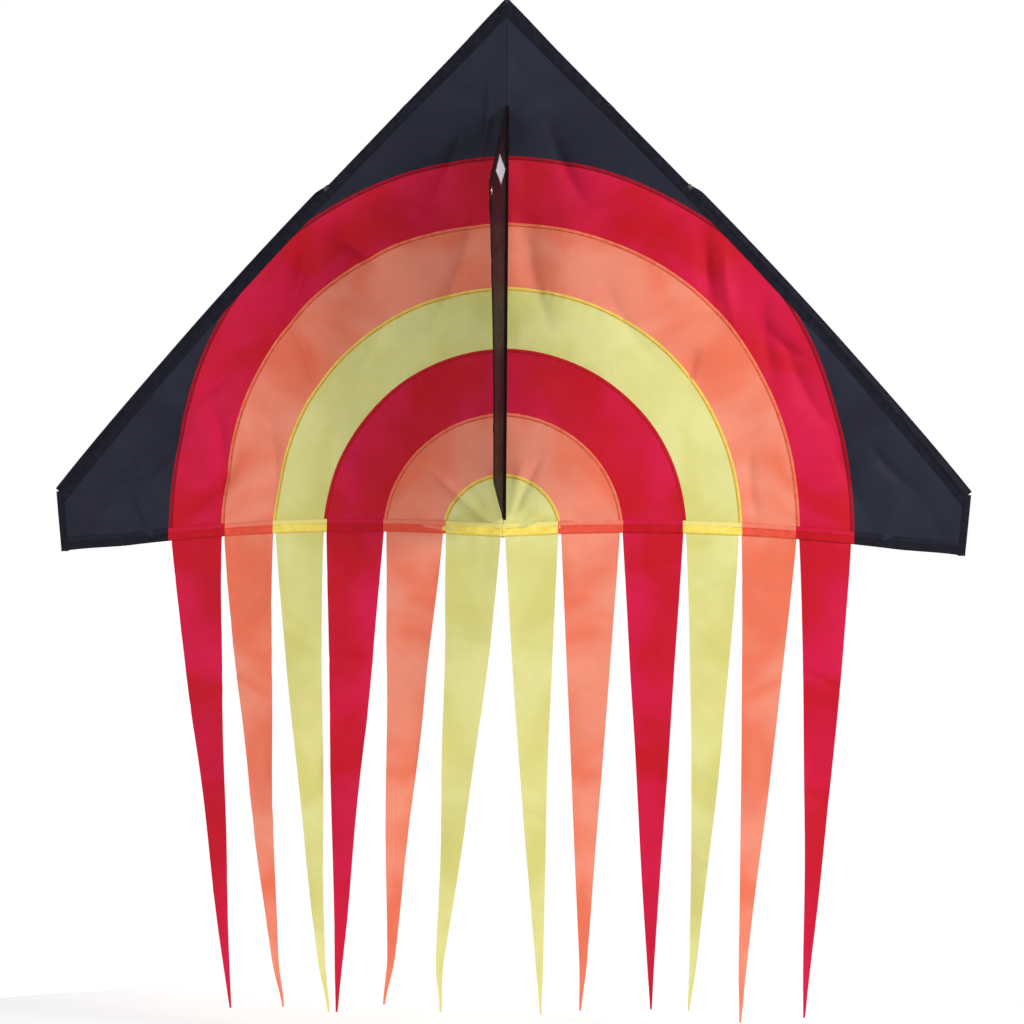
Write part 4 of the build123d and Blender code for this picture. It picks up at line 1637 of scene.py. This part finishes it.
def tail(side, index):
    """One tapering tail, shaped to the wing at its top and hanging below it."""
    band = BANDS[index]
    colour = colour_of(band)
    grid, across, down, length, width = tail_grid(side, index)
    offset = surface_normals(grid) * sizes().cloth / 2
    piece = cloth_sheet(f"streamer_{band}_{side}", (grid + offset, grid - offset), f"{colour}_cloth")
    keep_flat_place(piece, across + 0.1 * index, -down)
    rows = np.argmin(np.abs(down[:, 0]))
    start = grid[rows].mean(axis=0)
    start[2] - 0.025
    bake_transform(piece)
    area = (width + TAIL_POINT) / 2 * length + TAIL_ROOT * width
    length + TAIL_ROOT
    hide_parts(f"tail_{band}_{side}")


class KITE_OT_tails(bpy.types.Operator):
    """Hangs the twelve tapering tails from the trailing hem"""

    bl_idname = "kite.tails"
    bl_label = "Tails"

    def execute(self, context):
        for side in SIDES:
            for index in range(len(BANDS)):
                tail(side, index)
        return {"FINISHED"}


# ---------------------------------------------------------------- rods and fittings

# The finish of each hard piece of the frame, on either side
HARD_PIECES = {
    "spine_rod": "rod", "spreader_rod": "rod", "leading_rod": "rod",
    "spine_rod_caps": "moulding", "leading_rod_caps": "moulding", "spreader_fitting": "moulding",
}


class KITE_OT_fittings(bpy.types.Operator):
    """Finishes the rods, their caps and the two moulded fittings"""

    bl_idname = "kite.fittings"
    bl_label = "Rods and fittings"

    def execute(self, context):
        for name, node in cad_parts.items():
            finish = HARD_PIECES.get(name.replace("_left", "").replace("_right", ""))
            if finish:
                node.data.materials.clear()
                node.data.materials.append(finish_named(finish))
        return {"FINISHED"}


# ---------------------------------------------------------------- stage

AIM = Vector((0.0137, 0.0, -0.7929))
DISTANCE = 6.5
YAW = 5.27
ELEVATION = -1.82
ROLL = 0.42
FOCAL = 149.0

FLOOR_AT = (0.0, 0.05, -1.600)
FLOOR_PROFILE = [(0.35, 0.0), (0.7, 0.0), (1.05, 0.0), (1.10, 0.004), (1.11, 0.03)]  # radius and drop
FLOOR_SIDES = 96

# Each soft light: where it stands, where it points, its power in watts and its width
LIGHTS = {
    "key": ((2.7, -1.9, 0.5), (0.0, 0.0, -0.8), 85.0, 0.8),
    "fill": ((-2.1, -3.0, -0.6), (0.0, 0.0, -0.9), 50.0, 1.6),
    "rear": ((-2.0, 2.9, 1.2), (0.0, 0.0, -0.7), 34.0, 1.6),
    "floor_wash": ((0.0, 2.1, 0.3), (0.0, -0.1, -1.6), 50.0, 1.6),
}
WORLD_STRENGTH = 0.31


def add_floor():
    """A round pale floor just below the tips of the tails, with an edge that turns down."""
    angles = np.arange(FLOOR_SIDES) * 2 * np.pi / FLOOR_SIDES
    points = [(0.0, 0.0, 0.0)]
    for radius, drop in FLOOR_PROFILE:
        points += [(radius * math.cos(a), radius * math.sin(a), -drop) for a in angles]
    around = [(k, (k + 1) % FLOOR_SIDES) for k in range(FLOOR_SIDES)]
    faces = [(0, 1 + k, 1 + beside) for k, beside in around]
    for level in range(len(FLOOR_PROFILE) - 1):
        base, after = 1 + level * FLOOR_SIDES, 1 + (level + 1) * FLOOR_SIDES
        faces += [(base + k, after + k, after + beside, base + beside) for k, beside in around]
    floor = make_piece("floor", points, faces, ["floor"], crease=False)
    floor.location = FLOOR_AT


def add_light(name, place_at, aim, power, size):
    """A soft square light turned towards a point."""
    light = bpy.data.lights.new(name, "AREA")
    light.energy = power
    light.size = size
    lamp = put_in_scene(name, light)
    lamp.location = place_at
    direction = Vector(aim) - Vector(place_at)
    lamp.rotation_euler = direction.to_track_quat("-Z", "Y").to_euler()


def add_camera():
    """The camera, level but for a slight roll."""
    yaw, elevation = math.radians(YAW), math.radians(ELEVATION)
    level = math.cos(elevation)
    away = Vector((math.sin(yaw) * level, -math.cos(yaw) * level, math.sin(elevation)))
    data = bpy.data.cameras.new("camera")
    data.lens = FOCAL
    data.sensor_width = 36.0
    data.dof.use_dof = False
    camera = put_in_scene("camera", data)
    camera.location = AIM + away * DISTANCE
    camera.rotation_euler = (-away).to_track_quat("-Z", "Y").to_euler()
    camera.rotation_euler.rotate_axis("Z", math.radians(ROLL))
    bpy.context.scene.camera = camera


def set_world():
    """A white backdrop, with a softer light of its own on the kite."""
    world = bpy.data.worlds.new("studio")
    world.use_nodes = True
    nodes, links = world.node_tree.nodes, world.node_tree.links
    lit = nodes["Background"]
    lit.inputs["Color"].default_value = (0.96, 0.98, 1.0, 1.0)
    lit.inputs["Strength"].default_value = WORLD_STRENGTH
    seen = nodes.new("ShaderNodeBackground")
    seen.inputs["Color"].default_value = (1.0, 1.0, 1.0, 1.0)
    ray = nodes.new("ShaderNodeLightPath")
    choice = nodes.new("ShaderNodeMixShader")
    links.new(ray.outputs["Is Camera Ray"], choice.inputs["Fac"])
    links.new(lit.outputs["Background"], choice.inputs[1])
    links.new(seen.outputs["Background"], choice.inputs[2])
    links.new(choice.outputs["Shader"], nodes["World Output"].inputs["Surface"])
    bpy.context.scene.world = world
    bpy.context.scene.view_settings.view_transform = "Standard"


class KITE_OT_stage(bpy.types.Operator):
    """Sets the floor, the soft lights and the camera"""

    bl_idname = "kite.stage"
    bl_label = "Floor, lights and camera"

    def execute(self, context):
        set_world()
        add_floor()
        for name, light in LIGHTS.items():
            add_light(name, *light)
        add_camera()
        return {"FINISHED"}


# ---------------------------------------------------------------- sidebar and running


OPERATORS = [KITE_OT_stage, KITE_OT_black, KITE_OT_bands, KITE_OT_seams, KITE_OT_hems, KITE_OT_sleeves]
OPERATORS += [KITE_OT_spine, KITE_OT_keel, KITE_OT_tails, KITE_OT_fittings]


class KITE_PT_panel(bpy.types.Panel):
    """Lists the pieces of the kite in the order that they are made"""

    bl_idname = "KITE_PT_panel"
    bl_label = "Delta kite"
    bl_space_type = "VIEW_3D"
    bl_region_type = "UI"
    bl_category = "Kite"

    def draw(self, context):
        column = self.layout.column()
        for operator in OPERATORS:
            column.operator(operator.bl_idname)
        for group in (context.scene.kite_sizes, context.scene.kite_colours):
            for name in group.bl_rna.properties.keys():
                if name not in ("rna_type", "name"):
                    column.prop(group, name)


CLASSES = [KiteSizes, KiteColours] + OPERATORS + [KITE_PT_panel]


def register():
    for kind in CLASSES:
        bpy.utils.register_class(kind)
    bpy.types.Scene.kite_sizes = PointerProperty(type=KiteSizes)
    bpy.types.Scene.kite_colours = PointerProperty(type=KiteColours)


def unregister():
    del bpy.types.Scene.kite_colours
    del bpy.types.Scene.kite_sizes
    for kind in reversed(CLASSES):
        bpy.utils.unregister_class(kind)


def main():
    register()
    for operator in OPERATORS:
        group, name = operator.bl_idname.split(".")
        getattr(getattr(bpy.ops, group), name)()


if __name__ == "__main__":
    main()
